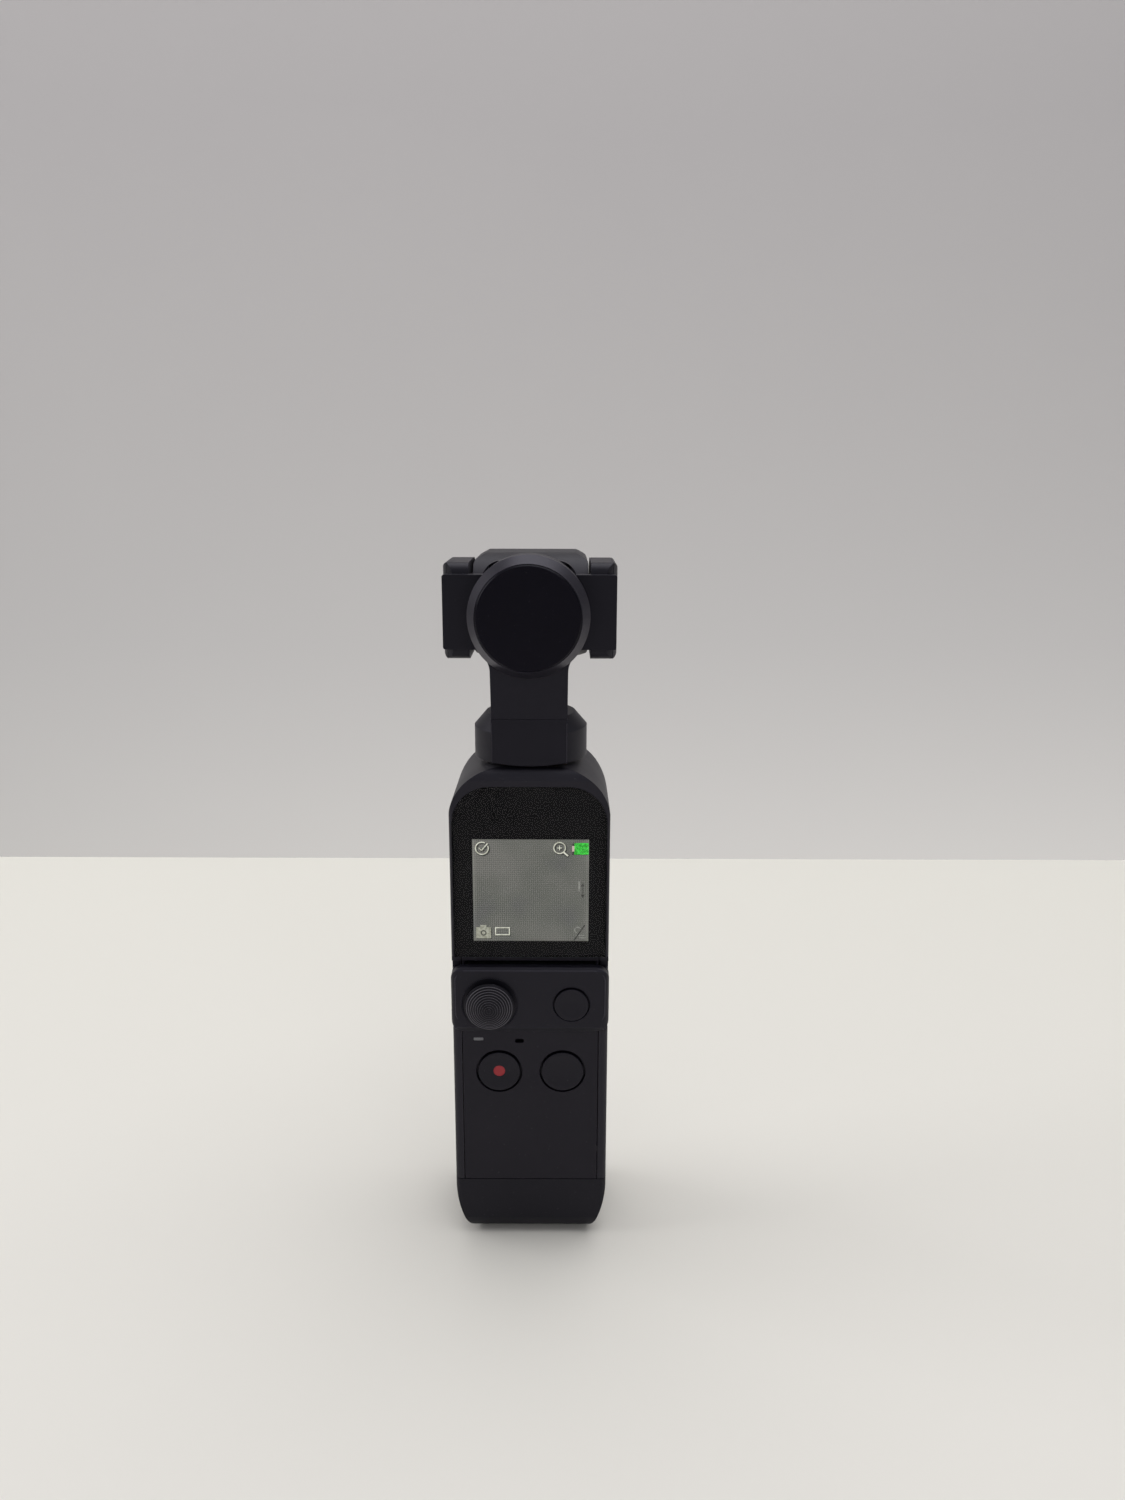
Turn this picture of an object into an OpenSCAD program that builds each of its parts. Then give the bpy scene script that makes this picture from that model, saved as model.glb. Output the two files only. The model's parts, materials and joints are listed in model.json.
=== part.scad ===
/* [Handle] */
// Width of the handle across its front
handle_w = 27.6; // [26:0.1:30]
// Depth of the handle from screen face to back
handle_d = 22; // [21:0.1:26]
// Height of the handle up to the turning collar
handle_h = 89.4; // [88.5:0.1:92]
// Wall thickness of the moulded shells
wall = 1.4; // [1.2:0.05:1.6]
// Radius of the long edges at the back
back_edge_r = 6; // [5:0.1:7]
// Radius of the long edges at the front
front_edge_r = 1; // [0.8:0.05:1.2]
// Radius of the shoulders, seen from the front
shoulder_r = 9; // [8.6:0.1:9.4]
// Distance below the handle's top where the shoulders start to turn in
shoulder_h = 9; // [8.6:0.1:9.4]
// Radius of the top edge, seen from the side
crown_r = 2.4; // [2:0.1:3]
/* [Base cover] */
// Height of the pull-off base cover
base_h = 11.4; // [11:0.1:12]
// Width of the base's rounded corners, seen from the front
base_corner_w = 5.3; // [5:0.1:5.6]
// Radius where the base's corners meet its foot
base_corner_r = 3.4; // [3:0.1:4]
// Edge radius of the base, seen from the side
base_edge_r = 4; // [3:0.1:5]
// Seam between the base cover and the handle
base_seam = 0.15; // [0.1:0.05:0.3]
/* [Front face] */
// Thickness of the screen glass and of the button plate
front_t = 1.1; // [1:0.05:1.2]
// Width of the screen glass
glass_w = 26.4; // [26:0.1:26.6]
// Height of the lower edge of the screen glass
glass_z0 = 55.5; // [55.2:0.1:56]
// Distance of the screen glass below the handle's top
glass_drop = 3.1; // [2.5:0.1:3.4]
// Radius of the upper corners of the screen glass
glass_corner_r = 6.5; // [6:0.1:7]
// Width of the button plate
plate_w = 24.1; // [23.8:0.1:24.4]
// Height of the upper edge of the button plate
plate_z1 = 41.4; // [41:0.1:41.6]
// Diameter of the two button caps
cap_d = 7.4; // [7:0.1:7.6]
// Diameter of the two button holes
cap_hole_d = 8.3; // [8:0.1:8.5]
// Height of the two buttons
cap_z = 33.4; // [33:0.1:34]
// Sideways place of the record button
record_x = -5.6; // [-5.8:0.1:-5.2]
// Sideways place of the power button
power_x = 5.75; // [5.2:0.05:5.9]
// Travel of each button
cap_travel = 0.35; // [0.2:0.05:0.4]
/* [Control module] */
// Height of the lower edge of the slide-on module
module_z0 = 41.7; // [41.6:0.05:42]
// Height of the slide-on module
module_h = 12.3; // [12:0.1:12.6]
// Width of the slide-on module
module_w = 27.8; // [27.4:0.1:28]
// How far the module stands out of the front face
module_out = 1.5; // [1.3:0.1:1.8]
// Sideways place of the stick
stick_x = -7.05; // [-7.3:0.05:-6.8]
// Height of the stick centre
stick_z = 47.2; // [47:0.1:47.6]
// Diameter of the stepped stick cap
stick_d = 8.75; // [8:0.05:9]
// Steps on the stick cap
stick_steps = 8; // [5:1:10]
// Sideways place of the module button
module_button_x = 7.3; // [7:0.1:7.6]
// Diameter of the module button
module_button_d = 5.9; // [5.5:0.1:6.2]
/* [Gimbal arm] */
// Diameter of the turning collar
collar_d = 19.7; // [19.4:0.1:19.8]
// Height of the collar's shoulder edge above the handle
collar_edge_h = 5.6; // [5.4:0.1:6]
// Height of the collar's top above the handle
collar_top_h = 8; // [7.8:0.05:8.4]
// Diameter of the collar's top face
collar_top_d = 15.6; // [15:0.1:16]
// Width of the arm at the collar
arm_w = 12.7; // [12.4:0.1:12.9]
// Distance of the arm's outer face in front of the turning axis
arm_face = 10; // [9.9:0.05:10.2]
/* [Roll motor] */
// Height of the roll and tilt axes above the handle
head_h = 25.6; // [25.4:0.1:26]
// Diameter of the roll motor's bezel
bezel_d = 20.2; // [19.8:0.1:20.4]
// Width of the bezel's ring round the dark cover disc
bezel_w = 1.45; // [1.3:0.05:1.6]
// Distance of the cover disc's face in front of the turning axis
disc_face = 13.4; // [13.3:0.05:13.6]
/* [Yoke] */
// Width of the yoke over both arms
yoke_w = 29.8; // [29.6:0.1:30.2]
// Height of the yoke's side arms
yoke_arm_h = 16.4; // [16.2:0.1:16.6]
// Thickness of each yoke arm with its cap
yoke_side_t = 4.6; // [4.5:0.05:4.7]
// Distance of the tilt axis behind the turning axis
tilt_y = 9; // [8.9:0.05:9.2]
/* [Camera head] */
// Height of the camera housing
camera_h = 18.4; // [18.2:0.1:18.8]
// Distance of the camera's front face behind the turning axis
camera_face = 21; // [20.8:0.1:21.4]
// Diameter of the lens ring
lens_ring_d = 15.2; // [15:0.1:15.4]
// How far the lens ring stands out
lens_ring_out = 2.5; // [2.3:0.1:2.6]
// Corner radius of the camera's nose, seen from above
camera_nose_r = 4; // [3.6:0.1:4.4]
// Thickness of the camera's shells
camera_wall = 1.2; // [1:0.05:1.3]

/* [Hidden] */
$fn = 64;
// Heights above the base's foot that follow the handle's own height
shoulder_z = handle_h - shoulder_h;
glass_z1 = handle_h - glass_drop;
collar_edge_z = handle_h + collar_edge_h;
collar_top_z = handle_h + collar_top_h;
head_z = handle_h + head_h;
// Overrun of every cut past the face that it opens
over = 0.5;
// Running clearance of shafts and pins, on the radius
run = 0.03;
// Clearance of parts that are laid into each other
fit = 0.1;
// Gap between faces that move past each other
gap = 0.3;
colour_body = [0.15, 0.145, 0.16];
colour_dark = [0.07, 0.07, 0.085];
colour_edge = [0.24, 0.235, 0.255];
colour_metal = [0.7, 0.7, 0.72];
colour_copper = [0.72, 0.42, 0.22];
colour_board = [0.08, 0.3, 0.18];
colour_steel = [0.55, 0.56, 0.58];
colour_magnet = [0.35, 0.35, 0.38];

// Shapes that several pieces share

// A rectangle about its centre with round corners
module rounded(w, h, r) {
    square([w - 2 * r, h], center = true);
    square([w, h - 2 * r], center = true);
    for (sx = [-1, 1], sy = [-1, 1])
        translate([sx * (w / 2 - r), sy * (h / 2 - r)]) circle(r);
}

// An outline drawn as seen from the front, in x and z, made solid from y0 back to y1
module from_front(y0, y1) {
    translate([0, y1, 0]) rotate([90, 0, 0]) linear_extrude(y1 - y0) children();
}

// An outline drawn as seen from the side, in y and z, made solid from x0 to x1
module from_side(x0, x1) {
    translate([x0, 0, 0]) rotate([90, 0, 90]) linear_extrude(x1 - x0) children();
}

// A round post along y at a place seen from the front
module post_y(r, y0, y1, x, z) {
    translate([x, y0, z]) rotate([-90, 0, 0]) cylinder(r = r, h = y1 - y0);
}

// A round post along x at a place seen from the side
module post_x(r, x0, x1, y, z) {
    translate([x0, y, z]) rotate([0, 90, 0]) cylinder(r = r, h = x1 - x0);
}

// A block between two corners
module block(a, b) {
    translate(a) cube(b - a);
}

// A motor's toothed iron core on its tube, about z, with its lower face at zero
module toothed_core(r_tube, r_out, h, teeth, tooth_w, shoe_t) {
    yoke_ring = shoe_t * core_ring_share;
    difference() {
        linear_extrude(h) {
            circle(r_tube + yoke_ring);
            for (i = [0 : teeth - 1]) rotate(i * 360 / teeth) {
                translate([r_tube, -tooth_w / 2]) square([r_out - shoe_t / 2 - r_tube, tooth_w]);
                intersection() {
                    difference() {
                        circle(r_out);
                        circle(r_out - shoe_t);
                    }
                    translate([0, -shoe_w(r_out, teeth) / 2]) square([r_out + over, shoe_w(r_out, teeth)]);
                }
            }
        }
        translate([0, 0, -over]) cylinder(r = r_tube, h = h + 2 * over);
    }
}

// Width of a tooth's shoe, as a share of the way round that it has
function shoe_w(r_out, teeth) = shoe_share * 2 * PI * r_out / teeth;
shoe_share = 0.72;
core_ring_share = 1.25;

// The wound coils round a motor's teeth, about z, each a ring with its tooth's hole
module coil_set(r0, r1, h, teeth, tooth_w, wire) {
    for (i = [0 : teeth - 1]) rotate(i * 360 / teeth) difference() {
        block([r0, -tooth_w / 2 - wire, -wire], [r1, tooth_w / 2 + wire, h + wire]);
        block([r0 - over, -tooth_w / 2 - coil_slack, -coil_slack],
            [r1 + over, tooth_w / 2 + coil_slack, h + coil_slack]);
    }
}
coil_slack = 0.05;

// A ring of magnets about z, parted by thin gaps
module magnet_set(r0, r1, h, poles) {
    difference() {
        cylinder(r = r1, h = h);
        translate([0, 0, -over]) cylinder(r = r0, h = h + 2 * over);
        for (i = [0 : poles / 2 - 1]) rotate(i * 360 / poles)
            block([-r1 - over, -magnet_gap / 2, -over], [r1 + over, magnet_gap / 2, h + over]);
    }
}
magnet_gap = 0.3;

// A shielded ball bearing about z, with the shaft's running clearance in its bore
module bearing(r_out, r_shaft, h) {
    groove = (r_out - r_shaft) / 4;
    rotate_extrude() difference() {
        translate([r_shaft + run, 0]) square([r_out - r_shaft - run, h]);
        translate([r_shaft + 2 * groove, h]) square([groove, groove], center = true);
        translate([r_shaft + 2 * groove, 0]) square([groove, groove], center = true);
    }
}

// A small screw about z with its head's seat at zero, head up
module screw(shank_r, length, head_r, head_h) {
    translate([0, 0, -length]) cylinder(r = shank_r, h = length);
    difference() {
        cylinder(r = head_r, h = head_h);
        translate([0, 0, head_h / 2]) cylinder(r = head_r / 2, h = head_h, $fn = 6);
    }
}

// Handle

face_y = -handle_d / 2;
front_back_y = face_y + front_t;
shell_z0 = base_h + base_seam;
top_wall = 1.6;

// How far a rounding arc starts outside the wall that it cuts, so that it meets it at an angle
blend = 0.05;

// The handle's outline seen from above, drawn in by an inset
module handle_section(inset) {
    w = handle_w / 2 - inset;
    front = face_y + inset;
    back = -face_y - inset;
    rf = max(front_edge_r - inset, fit);
    rb = back_edge_r - inset;
    translate([-w, front + rf]) square([2 * w, back - front - rf - rb]);
    translate([rf - w, front]) square([2 * (w - rf), rf]);
    translate([rb - w, back - rb]) square([2 * (w - rb), rb]);
    for (s = [-1, 1]) {
        translate([s * (w - rf), front + rf]) circle(rf);
        translate([s * (w - rb), back - rb]) circle(rb);
    }
}

// The handle's shoulders seen from the front, drawn in by an inset
module shoulder_outline(inset, z0, z1) {
    w = handle_w / 2 - inset + blend;
    r = shoulder_r - inset;
    intersection() {
        translate([-w - over, z0]) square([2 * (w + over), z1 - z0]);
        union() {
            translate([-w - over, z0]) square([2 * (w + over), shoulder_z - z0]);
            translate([r - w, shoulder_z - r]) square([2 * (w - r), 2 * r]);
            for (s = [-1, 1]) translate([s * (w - r), shoulder_z]) circle(r);
        }
    }
}

// The handle's side seen from the side, with its top edges rounded
module crown_outline(inset, z0, z1) {
    front = face_y + inset - blend;
    depth = -2 * front;
    r = crown_r - inset / 2;
    translate([front - over, z0]) square([depth + 2 * over, z1 - z0 - r]);
    translate([front + r, z1 - 2 * r]) square([depth - 2 * r, 2 * r]);
    for (s = [-1, 1]) translate([s * (-front - r), z1 - r]) circle(r);
}

// The handle's outer form, drawn in by an inset
module handle_form(inset, z0, z1) {
    intersection() {
        translate([0, 0, z0]) linear_extrude(z1 - z0) handle_section(inset);
        from_front(-handle_d, handle_d) shoulder_outline(inset, z0, z1);
        from_side(-handle_w, handle_w) crown_outline(inset, z0, z1);
    }
}

// The screen glass seen from the front, drawn out by a clearance
module glass_outline(clear) {
    w = glass_w / 2 + clear;
    r = glass_corner_r + clear;
    z0 = glass_z0 - clear;
    z1 = glass_z1 + clear;
    translate([-w, z0]) square([2 * w, z1 - r - z0]);
    translate([r - w, z0]) square([2 * (w - r), z1 - z0]);
    for (s = [-1, 1]) translate([s * (w - r), z1 - r]) circle(r);
}

// The button plate seen from the front, drawn out by a clearance
module plate_outline(clear) {
    translate([-plate_w / 2 - clear, shell_z0 - clear])
        square([plate_w + 2 * clear, plate_z1 - shell_z0 + clear]);
}

inner_w = handle_w - 2 * wall;
cavity_top = handle_h - top_wall;
port_z0 = module_z0 - fit;
port_z1 = module_z0 + module_h + gap;
port_depth = 2.1;
port_floor_y = face_y + port_depth;
hub_r = 3.8;
top_hole_r = hub_r + gap;
frame_y0 = front_back_y + fit;
frame_t = 1.2;
frame_y1 = frame_y0 + frame_t;
window_lip = 0.2;
window_w = inner_w - 2 * window_lip;
board_y = -2.9;
board_t = 0.8;
card_slot_drop = 12.4;
card_slot_z = shoulder_z - card_slot_drop;
card_w = 11.4;
card_t = 1;
card_y = board_y - card_t;
lug_l = 2.2;
lug_low_z = 17;
lug_drop = 0.6;
lug_z = [lug_low_z, shoulder_z - lug_drop];
lug_x = inner_w / 2 - lug_l / 2;
screw_shank_r = 0.5;
screw_l = 3;
screw_head_r = 0.9;
screw_head_h = 0.5;
flange_screw_r = 5.3;
flange_turns = [0, 120, 240];
frame_low = 0.5;
frame_high = 1.3;
frame_z0 = shell_z0 + frame_low;
frame_z1 = glass_z1 - frame_high;
frame_corner_r = glass_corner_r - wall;
frame_rim = 0.4;

// The front frame seen from the front, from a height upwards, drawn out by a clearance
module frame_outline(z0, clear) {
    w = window_w / 2 - fit + clear;
    r = frame_corner_r + clear;
    z1 = frame_z1 + clear;
    translate([-w, z0]) square([2 * w, z1 - r - z0]);
    translate([r - w, z0]) square([2 * (w - r), z1 - z0]);
    for (s = [-1, 1]) translate([s * (w - r), z1 - r]) circle(r);
}

module rear_shell() color(colour_body) {
    difference() {
        handle_form(0, shell_z0, handle_h);
        difference() {
            handle_form(wall, shell_z0 - over, cavity_top);
            for (s = [-1, 1], z = lug_z)
                block([s * lug_x - lug_l / 2, frame_y1 + 2 * fit, z - lug_l / 2],
                    [s * lug_x + lug_l / 2, frame_y1 + screw_l + frame_t, z + lug_l / 2]);
        }
        from_front(-handle_d, frame_y1 + fit) frame_outline(shell_z0 - over, fit);
        from_front(-handle_d, front_back_y) glass_outline(fit);
        from_front(-handle_d, front_back_y) plate_outline(fit / 2);
        block([-handle_w, -handle_d, port_z1 - fit], [handle_w, front_back_y, glass_z0]);
        block([-handle_w, -handle_d, port_z0], [handle_w, port_floor_y, port_z1]);
        cylinder(r = top_hole_r, h = handle_h + over);
        for (a = flange_turns) rotate(a) translate([flange_screw_r, 0, cavity_top - over])
            cylinder(r = screw_shank_r, h = 2 * over);
        for (s = [-1, 1], z = lug_z) post_y(screw_shank_r, -handle_d, frame_y1 + screw_l, s * lug_x, z);
        translate([inner_w / 2 - over, card_y + card_t / 2, card_slot_z]) rotate([90, 0, 90])
            linear_extrude(2 * wall) rounded(card_t, card_w, card_t / 2 - fit);
        for (z = speaker_z, y = speaker_y) post_x(speaker_r, -handle_w, -inner_w / 2 + over, y, z);
    }
}
speaker_r = 0.4;
speaker_z = [22, 24, 26, 28];
speaker_y = [-1, 1];

neck_w = 15;
neck_d = 8;
neck_z0 = 1.7;
neck_floor = 1.5;
usb_w = 8.94;
usb_h = 3.16;
usb_l = 7.3;
usb_wall = 0.25;
usb_tongue_w = 6.7;
usb_tongue_h = 0.7;
usb_tongue_l = 4.6;

// The closed lower end of the handle, with the neck that carries the charging socket
module neck_block() color(colour_dark) {
    floor_z0 = shell_z0 + fit;
    difference() {
        union() {
            translate([0, 0, floor_z0]) linear_extrude(neck_floor) handle_section(wall + fit);
            translate([0, 0, neck_z0]) linear_extrude(floor_z0 - neck_z0) rounded(neck_w, neck_d, neck_r);
        }
        translate([0, 0, neck_z0 - over]) linear_extrude(usb_l + over)
            rounded(usb_w, usb_h, usb_h / 2 - fit);
        block([-window_w / 2 - fit, -handle_d, floor_z0 - over],
            [window_w / 2 + fit, frame_y1 + fit, handle_h]);
    }
}
neck_r = 2;

module usb_socket() color(colour_steel) {
    translate([0, 0, neck_z0]) {
        difference() {
            linear_extrude(usb_l) rounded(usb_w, usb_h, usb_h / 2 - fit);
            translate([0, 0, -over]) linear_extrude(usb_l + over - usb_wall)
                rounded(usb_w - 2 * usb_wall, usb_h - 2 * usb_wall, usb_h / 2 - usb_wall - fit);
        }
        translate([0, 0, usb_l - usb_wall - usb_tongue_l]) linear_extrude(usb_tongue_l)
            square([usb_tongue_w, usb_tongue_h], center = true);
    }
}

cap_flange_lip = 0.3;
cap_flange_r = cap_hole_d / 2 + cap_flange_lip;
led_x = -9.25;
led_z = 39.7;
led_w = 1.9;
led_h = 0.7;
mic_x = -1.95;
mic_z = 39.4;
mic_w = 1.6;
mic_h = 0.8;
display_x = 0.3;
display_low = 1.9;
display_high = 7.9;
display_w = 22.2;
display_h = glass_z1 - glass_z0 - display_low - display_high;
display_z = glass_z0 + display_low + display_h / 2;
display_t = 1.3;

// The two small windows of the button plate, seen from the front
module led_slot(clear) {
    translate([led_x, led_z]) rounded(led_w + 2 * clear, led_h + 2 * clear, led_h / 2 + clear - fit / 2);
}
module mic_slot() {
    translate([mic_x, mic_z]) rounded(mic_w, mic_h, mic_h / 2 - fit / 2);
}

module front_frame() color(colour_dark) {
    w = window_w / 2 - fit;
    difference() {
        from_front(frame_y0, frame_y1) difference() {
            frame_outline(frame_z0, 0);
            translate([display_x, display_z])
                square([display_w + 2 * fit, display_h + 2 * fit], center = true);
            translate([0, (port_z0 + port_z1) / 2])
                square([2 * (w - frame_rim), port_z1 - port_z0], center = true);
            for (x = [record_x, power_x]) translate([x, cap_z]) circle(cap_flange_r + gap);
            led_slot(fit);
            mic_slot();
        }
        for (s = [-1, 1], z = lug_z) {
            post_y(screw_shank_r + fit, -handle_d, handle_d, s * lug_x, z);
            post_y(screw_head_r + fit, -handle_d, frame_y0 + screw_head_h + fit / 2, s * lug_x, z);
        }
        block([-handle_w, -handle_d, port_z0], [handle_w, port_floor_y, port_z1]);
    }
}

module button_plate() color(colour_body) {
    from_front(face_y, front_back_y) difference() {
        plate_outline(0);
        for (x = [record_x, power_x]) translate([x, cap_z]) circle(cap_hole_d / 2);
        led_slot(0);
        mic_slot();
    }
}

module led_window() color("gainsboro") {
    from_front(face_y + fit / 2, frame_y1) led_slot(-fit / 2);
}

module screen_glass() color(colour_dark) {
    from_front(face_y, front_back_y) glass_outline(0);
}

module display_panel() color("dimgray") {
    y0 = front_back_y + fit / 2;
    translate([display_x - display_w / 2, y0, display_z - display_h / 2])
        cube([display_w, display_t, display_h]);
}

// Rails that the control module slides in, and the floor between them

rail_inset = 0.4;
rail_z0 = module_z0 + rail_inset;
rail_z1 = module_z0 + module_h - rail_inset;
rail_wall = 0.5;
rail_lip = 1.3;
rail_lip_t = 0.5;
rail_depth = 1.7;
rail_t = 0.6;
rail_w = window_w - 2 * frame_rim - 4 * fit;
tongue_t = 0.9;

module port_rails() color(colour_metal) {
    y0 = port_floor_y - rail_depth;
    difference() {
        from_side(-rail_w / 2, rail_w / 2) difference() {
            translate([y0, rail_z0]) square([rail_depth + rail_t, rail_z1 - rail_z0]);
            translate([y0 + rail_lip_t, rail_z0 + rail_wall])
                square([rail_depth - rail_lip_t, rail_z1 - rail_z0 - 2 * rail_wall]);
            translate([y0 - over, rail_z0 + rail_lip]) square([rail_depth, rail_z1 - rail_z0 - 2 * rail_lip]);
        }
        for (i = [0 : contact_n - 1])
            post_y(contact_r + fit, port_floor_y - over, handle_d / 2, contact_x(i), stick_z);
    }
}
contact_n = 6;
contact_r = 0.45;
contact_pitch = 1.6;
function contact_x(i) = (i - (contact_n - 1) / 2) * contact_pitch;

module port_contacts() color("gold") {
    for (i = [0 : contact_n - 1])
        post_y(contact_r, port_floor_y + fit / 2, port_floor_y + rail_t + contact_tail,
            contact_x(i), stick_z);
    post_back = port_floor_y + rail_t + contact_tail;
    block([contact_x(0) - contact_pitch / 2, post_back, stick_z - contact_pitch],
        [contact_x(contact_n - 1) + contact_pitch / 2, post_back + board_t, stick_z + contact_pitch]);
}
contact_tail = 0.4;

// Boards, battery and sockets inside the handle

button_board_gap = 0.7;
button_board_y = frame_y1 + button_board_gap;
dome_r = 2.2;
dome_h = 0.4;

module button_board() color(colour_board) {
    block([-inner_w / 2 + wall, button_board_y, cap_z - cap_hole_d],
        [inner_w / 2 - wall, button_board_y + board_t, plate_z1 - wall]);
    for (x = [record_x, power_x]) post_y(dome_r, button_board_y - dome_h, button_board_y, x, cap_z);
}

board_side = 0.7;
board_w = inner_w - 2 * board_side;
board_z0 = 16;
board_rise = 0.6;
board_z1 = shoulder_z + board_rise;
chip_t = 1.1;

// The chips on the main board: place and size, each as a share of the board's width and height
chip_shares = [[-0.235, 0.154, 0.513, 0.138], [0.192, 0.169, 0.256, 0.092], [-0.15, 0.462, 0.641, 0.231],
    [0.321, 0.462, 0.214, 0.123], [-0.278, 0.769, 0.385, 0.138]];

module main_board() color(colour_board) {
    block([-board_w / 2, board_y, board_z0], [board_w / 2, board_y + board_t, board_z1]);
    h = board_z1 - board_z0;
    for (c = chip_shares)
        block([board_w * (c[0] - c[2] / 2), board_y - chip_t, board_z0 + h * (c[1] - c[3] / 2)],
            [board_w * (c[0] + c[2] / 2), board_y, board_z0 + h * (c[1] + c[3] / 2)]);
}

board_gap = 0.2;
mid_frame_y = board_y + board_t + board_gap;
mid_frame_t = 0.8;
mid_frame_z0 = 14;
mid_frame_z1 = shoulder_z - board_gap;
mid_frame_flange = 4;
mid_hole_step = 12;

module mid_frame() color(colour_metal) {
    w = inner_w / 2 - fit;
    difference() {
        union() {
            block([-w, mid_frame_y, mid_frame_z0], [w, mid_frame_y + mid_frame_t, mid_frame_z1]);
            for (s = [-1, 1])
                translate([s * (w - mid_frame_t / 2) - mid_frame_t / 2, mid_frame_y, mid_frame_z0])
                cube([mid_frame_t, mid_frame_flange, mid_frame_z1 - mid_frame_z0]);
        }
        for (z = [mid_frame_z0 + mid_hole_step / 2 : mid_hole_step : mid_frame_z1 - mid_hole_step / 2])
            post_y(mid_frame_t, -handle_d, handle_d, 0, z);
    }
}

battery_side_gap = 1.5;
battery_w = inner_w - 2 * (fit + mid_frame_t + battery_side_gap);
battery_t = 7.8;
battery_z0 = 15;
battery_drop = 13.4;
battery_z1 = shoulder_z - battery_drop;
battery_r = 1.6;

module battery() color("slategray") {
    y0 = mid_frame_y + mid_frame_t + board_gap;
    translate([0, y0 + battery_t / 2, battery_z0]) linear_extrude(battery_z1 - battery_z0 - battery_tab_h)
        rounded(battery_w, battery_t, battery_r);
    translate([0, y0 + battery_t / 4, battery_z1 - battery_tab_h]) linear_extrude(battery_tab_h)
        square([battery_w - 2 * battery_r, battery_t / 2], center = true);
}
battery_tab_h = 2.4;

card_socket_l = 13.6;
card_socket_w = 14;
card_socket_t = 1.5;

module card_socket() color(colour_steel) {
    x1 = inner_w / 2 - fit;
    z = card_slot_z;
    difference() {
        block([x1 - card_socket_l, board_y - card_socket_t, z - card_socket_w / 2],
            [x1, board_y, z + card_socket_w / 2]);
        block([x1 - card_socket_l + 2 * card_t, card_y + fit, z - card_w / 2],
            [x1 + over, card_y + card_t - 2 * fit, z + card_w / 2]);
    }
}

// Pan motor: the fixed half stands on a flange under the handle's top

flange_r = 6.7;
flange_t = 1.7;
flange_z = cavity_top - flange_t - fit;
hub_rise = 5.8;
hub_top = handle_h + hub_rise;
bearing_r = 3;
bearing_h = 1.9;
pan_shaft_r = 1.5;
pan_bore_r = 0.8;
pan_core_rise = 1.5;
pan_core_z = handle_h + pan_core_rise;
pan_core_h = 3.4;
pan_core_r = 7.4;
pan_teeth = 9;
pan_tooth_w = 1.3;
shoe_t = 0.55;
wire = 0.6;

module pan_motor_base() color(colour_metal) {
    difference() {
        union() {
            translate([0, 0, flange_z]) cylinder(r = flange_r, h = flange_t);
            translate([0, 0, flange_z]) cylinder(r = hub_r, h = hub_top - flange_z);
        }
        translate([0, 0, flange_z - over]) cylinder(r = bearing_r, h = handle_h);
        for (a = flange_turns) rotate(a) translate([flange_screw_r, 0, flange_z - over])
            cylinder(r = screw_shank_r + fit, h = handle_h);
    }
}

module pan_stator() color(colour_steel) {
    translate([0, 0, pan_core_z]) toothed_core(hub_r, pan_core_r, pan_core_h, pan_teeth, pan_tooth_w, shoe_t);
}

module pan_coils() color(colour_copper) {
    translate([0, 0, pan_core_z])
        coil_set(hub_r + shoe_t * 2, pan_core_r - shoe_t - 2 * fit, pan_core_h, pan_teeth, pan_tooth_w, wire);
}

module pan_bearings() color(colour_steel) {
    for (z = [flange_z + fit, hub_top - bearing_h]) translate([0, 0, z])
        bearing(bearing_r, pan_shaft_r, bearing_h);
}

// Screws that hold the front frame to the shell's lugs and the motor's flange to its top
module handle_screws() color(colour_steel) {
    for (s = [-1, 1], z = lug_z) translate([s * lug_x, frame_y0 + screw_head_h, z]) rotate([90, 0, 0])
        screw(screw_shank_r, screw_l, screw_head_r, screw_head_h);
    for (a = flange_turns) rotate(a) translate([flange_screw_r, 0, flange_z]) rotate([180, 0, 0])
        screw(screw_shank_r, flange_t + fit + over, screw_head_r, screw_head_h);
}

// Base cover: pulls off downwards and leaves the neck free

sleeve_t = 1.3;
port_mouth_w = 12.8;
port_mouth_d = 7;
port_mouth_r = 3.2;
base_floor = 1.5;
strap_r = 1;
strap_z = 6;
strap_pitch = 4.4;

// The base cover's lower edges, seen from the side
module base_outline(half, r, z0, z1) {
    translate([-half, z0 + r]) square([2 * half, z1 - z0 - r]);
    translate([r - half, z0]) square([2 * (half - r), 2 * r]);
    for (s = [-1, 1]) translate([s * (half - r), z0 + r]) circle(r);
}

// The base cover seen from the front: its corners bend in slowly and then tightly to the foot
module base_front_outline(inset, z0, z1) {
    w = handle_w / 2 + blend;
    rise = base_h - base_corner_r;
    run_in = base_corner_w - base_corner_r;
    side_r = (pow(base_corner_w, 2) + pow(rise, 2) - pow(base_corner_r, 2)) / (2 * run_in);
    foot_x = w - base_corner_w;
    r = base_corner_r - inset;
    meet_z = base_corner_r - r * rise / (side_r - base_corner_r);
    intersection() {
        translate([side_r - w, base_h]) circle(side_r - inset, $fn = 256);
        translate([w - side_r, base_h]) circle(side_r - inset, $fn = 256);
        translate([-w, meet_z]) square([2 * w, z1 - meet_z]);
    }
    translate([-foot_x, z0]) square([2 * foot_x, base_corner_r]);
    for (s = [-1, 1]) translate([s * foot_x, base_corner_r]) circle(r);
}

module base_form(inset, z0, z1) {
    intersection() {
        translate([0, 0, z0]) linear_extrude(z1 - z0) handle_section(inset);
        from_front(-handle_d, handle_d) base_front_outline(inset, z0, z1);
        from_side(-handle_w, handle_w)
            base_outline(handle_d / 2 - inset + blend, base_edge_r - inset, z0, z1);
    }
}

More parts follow.
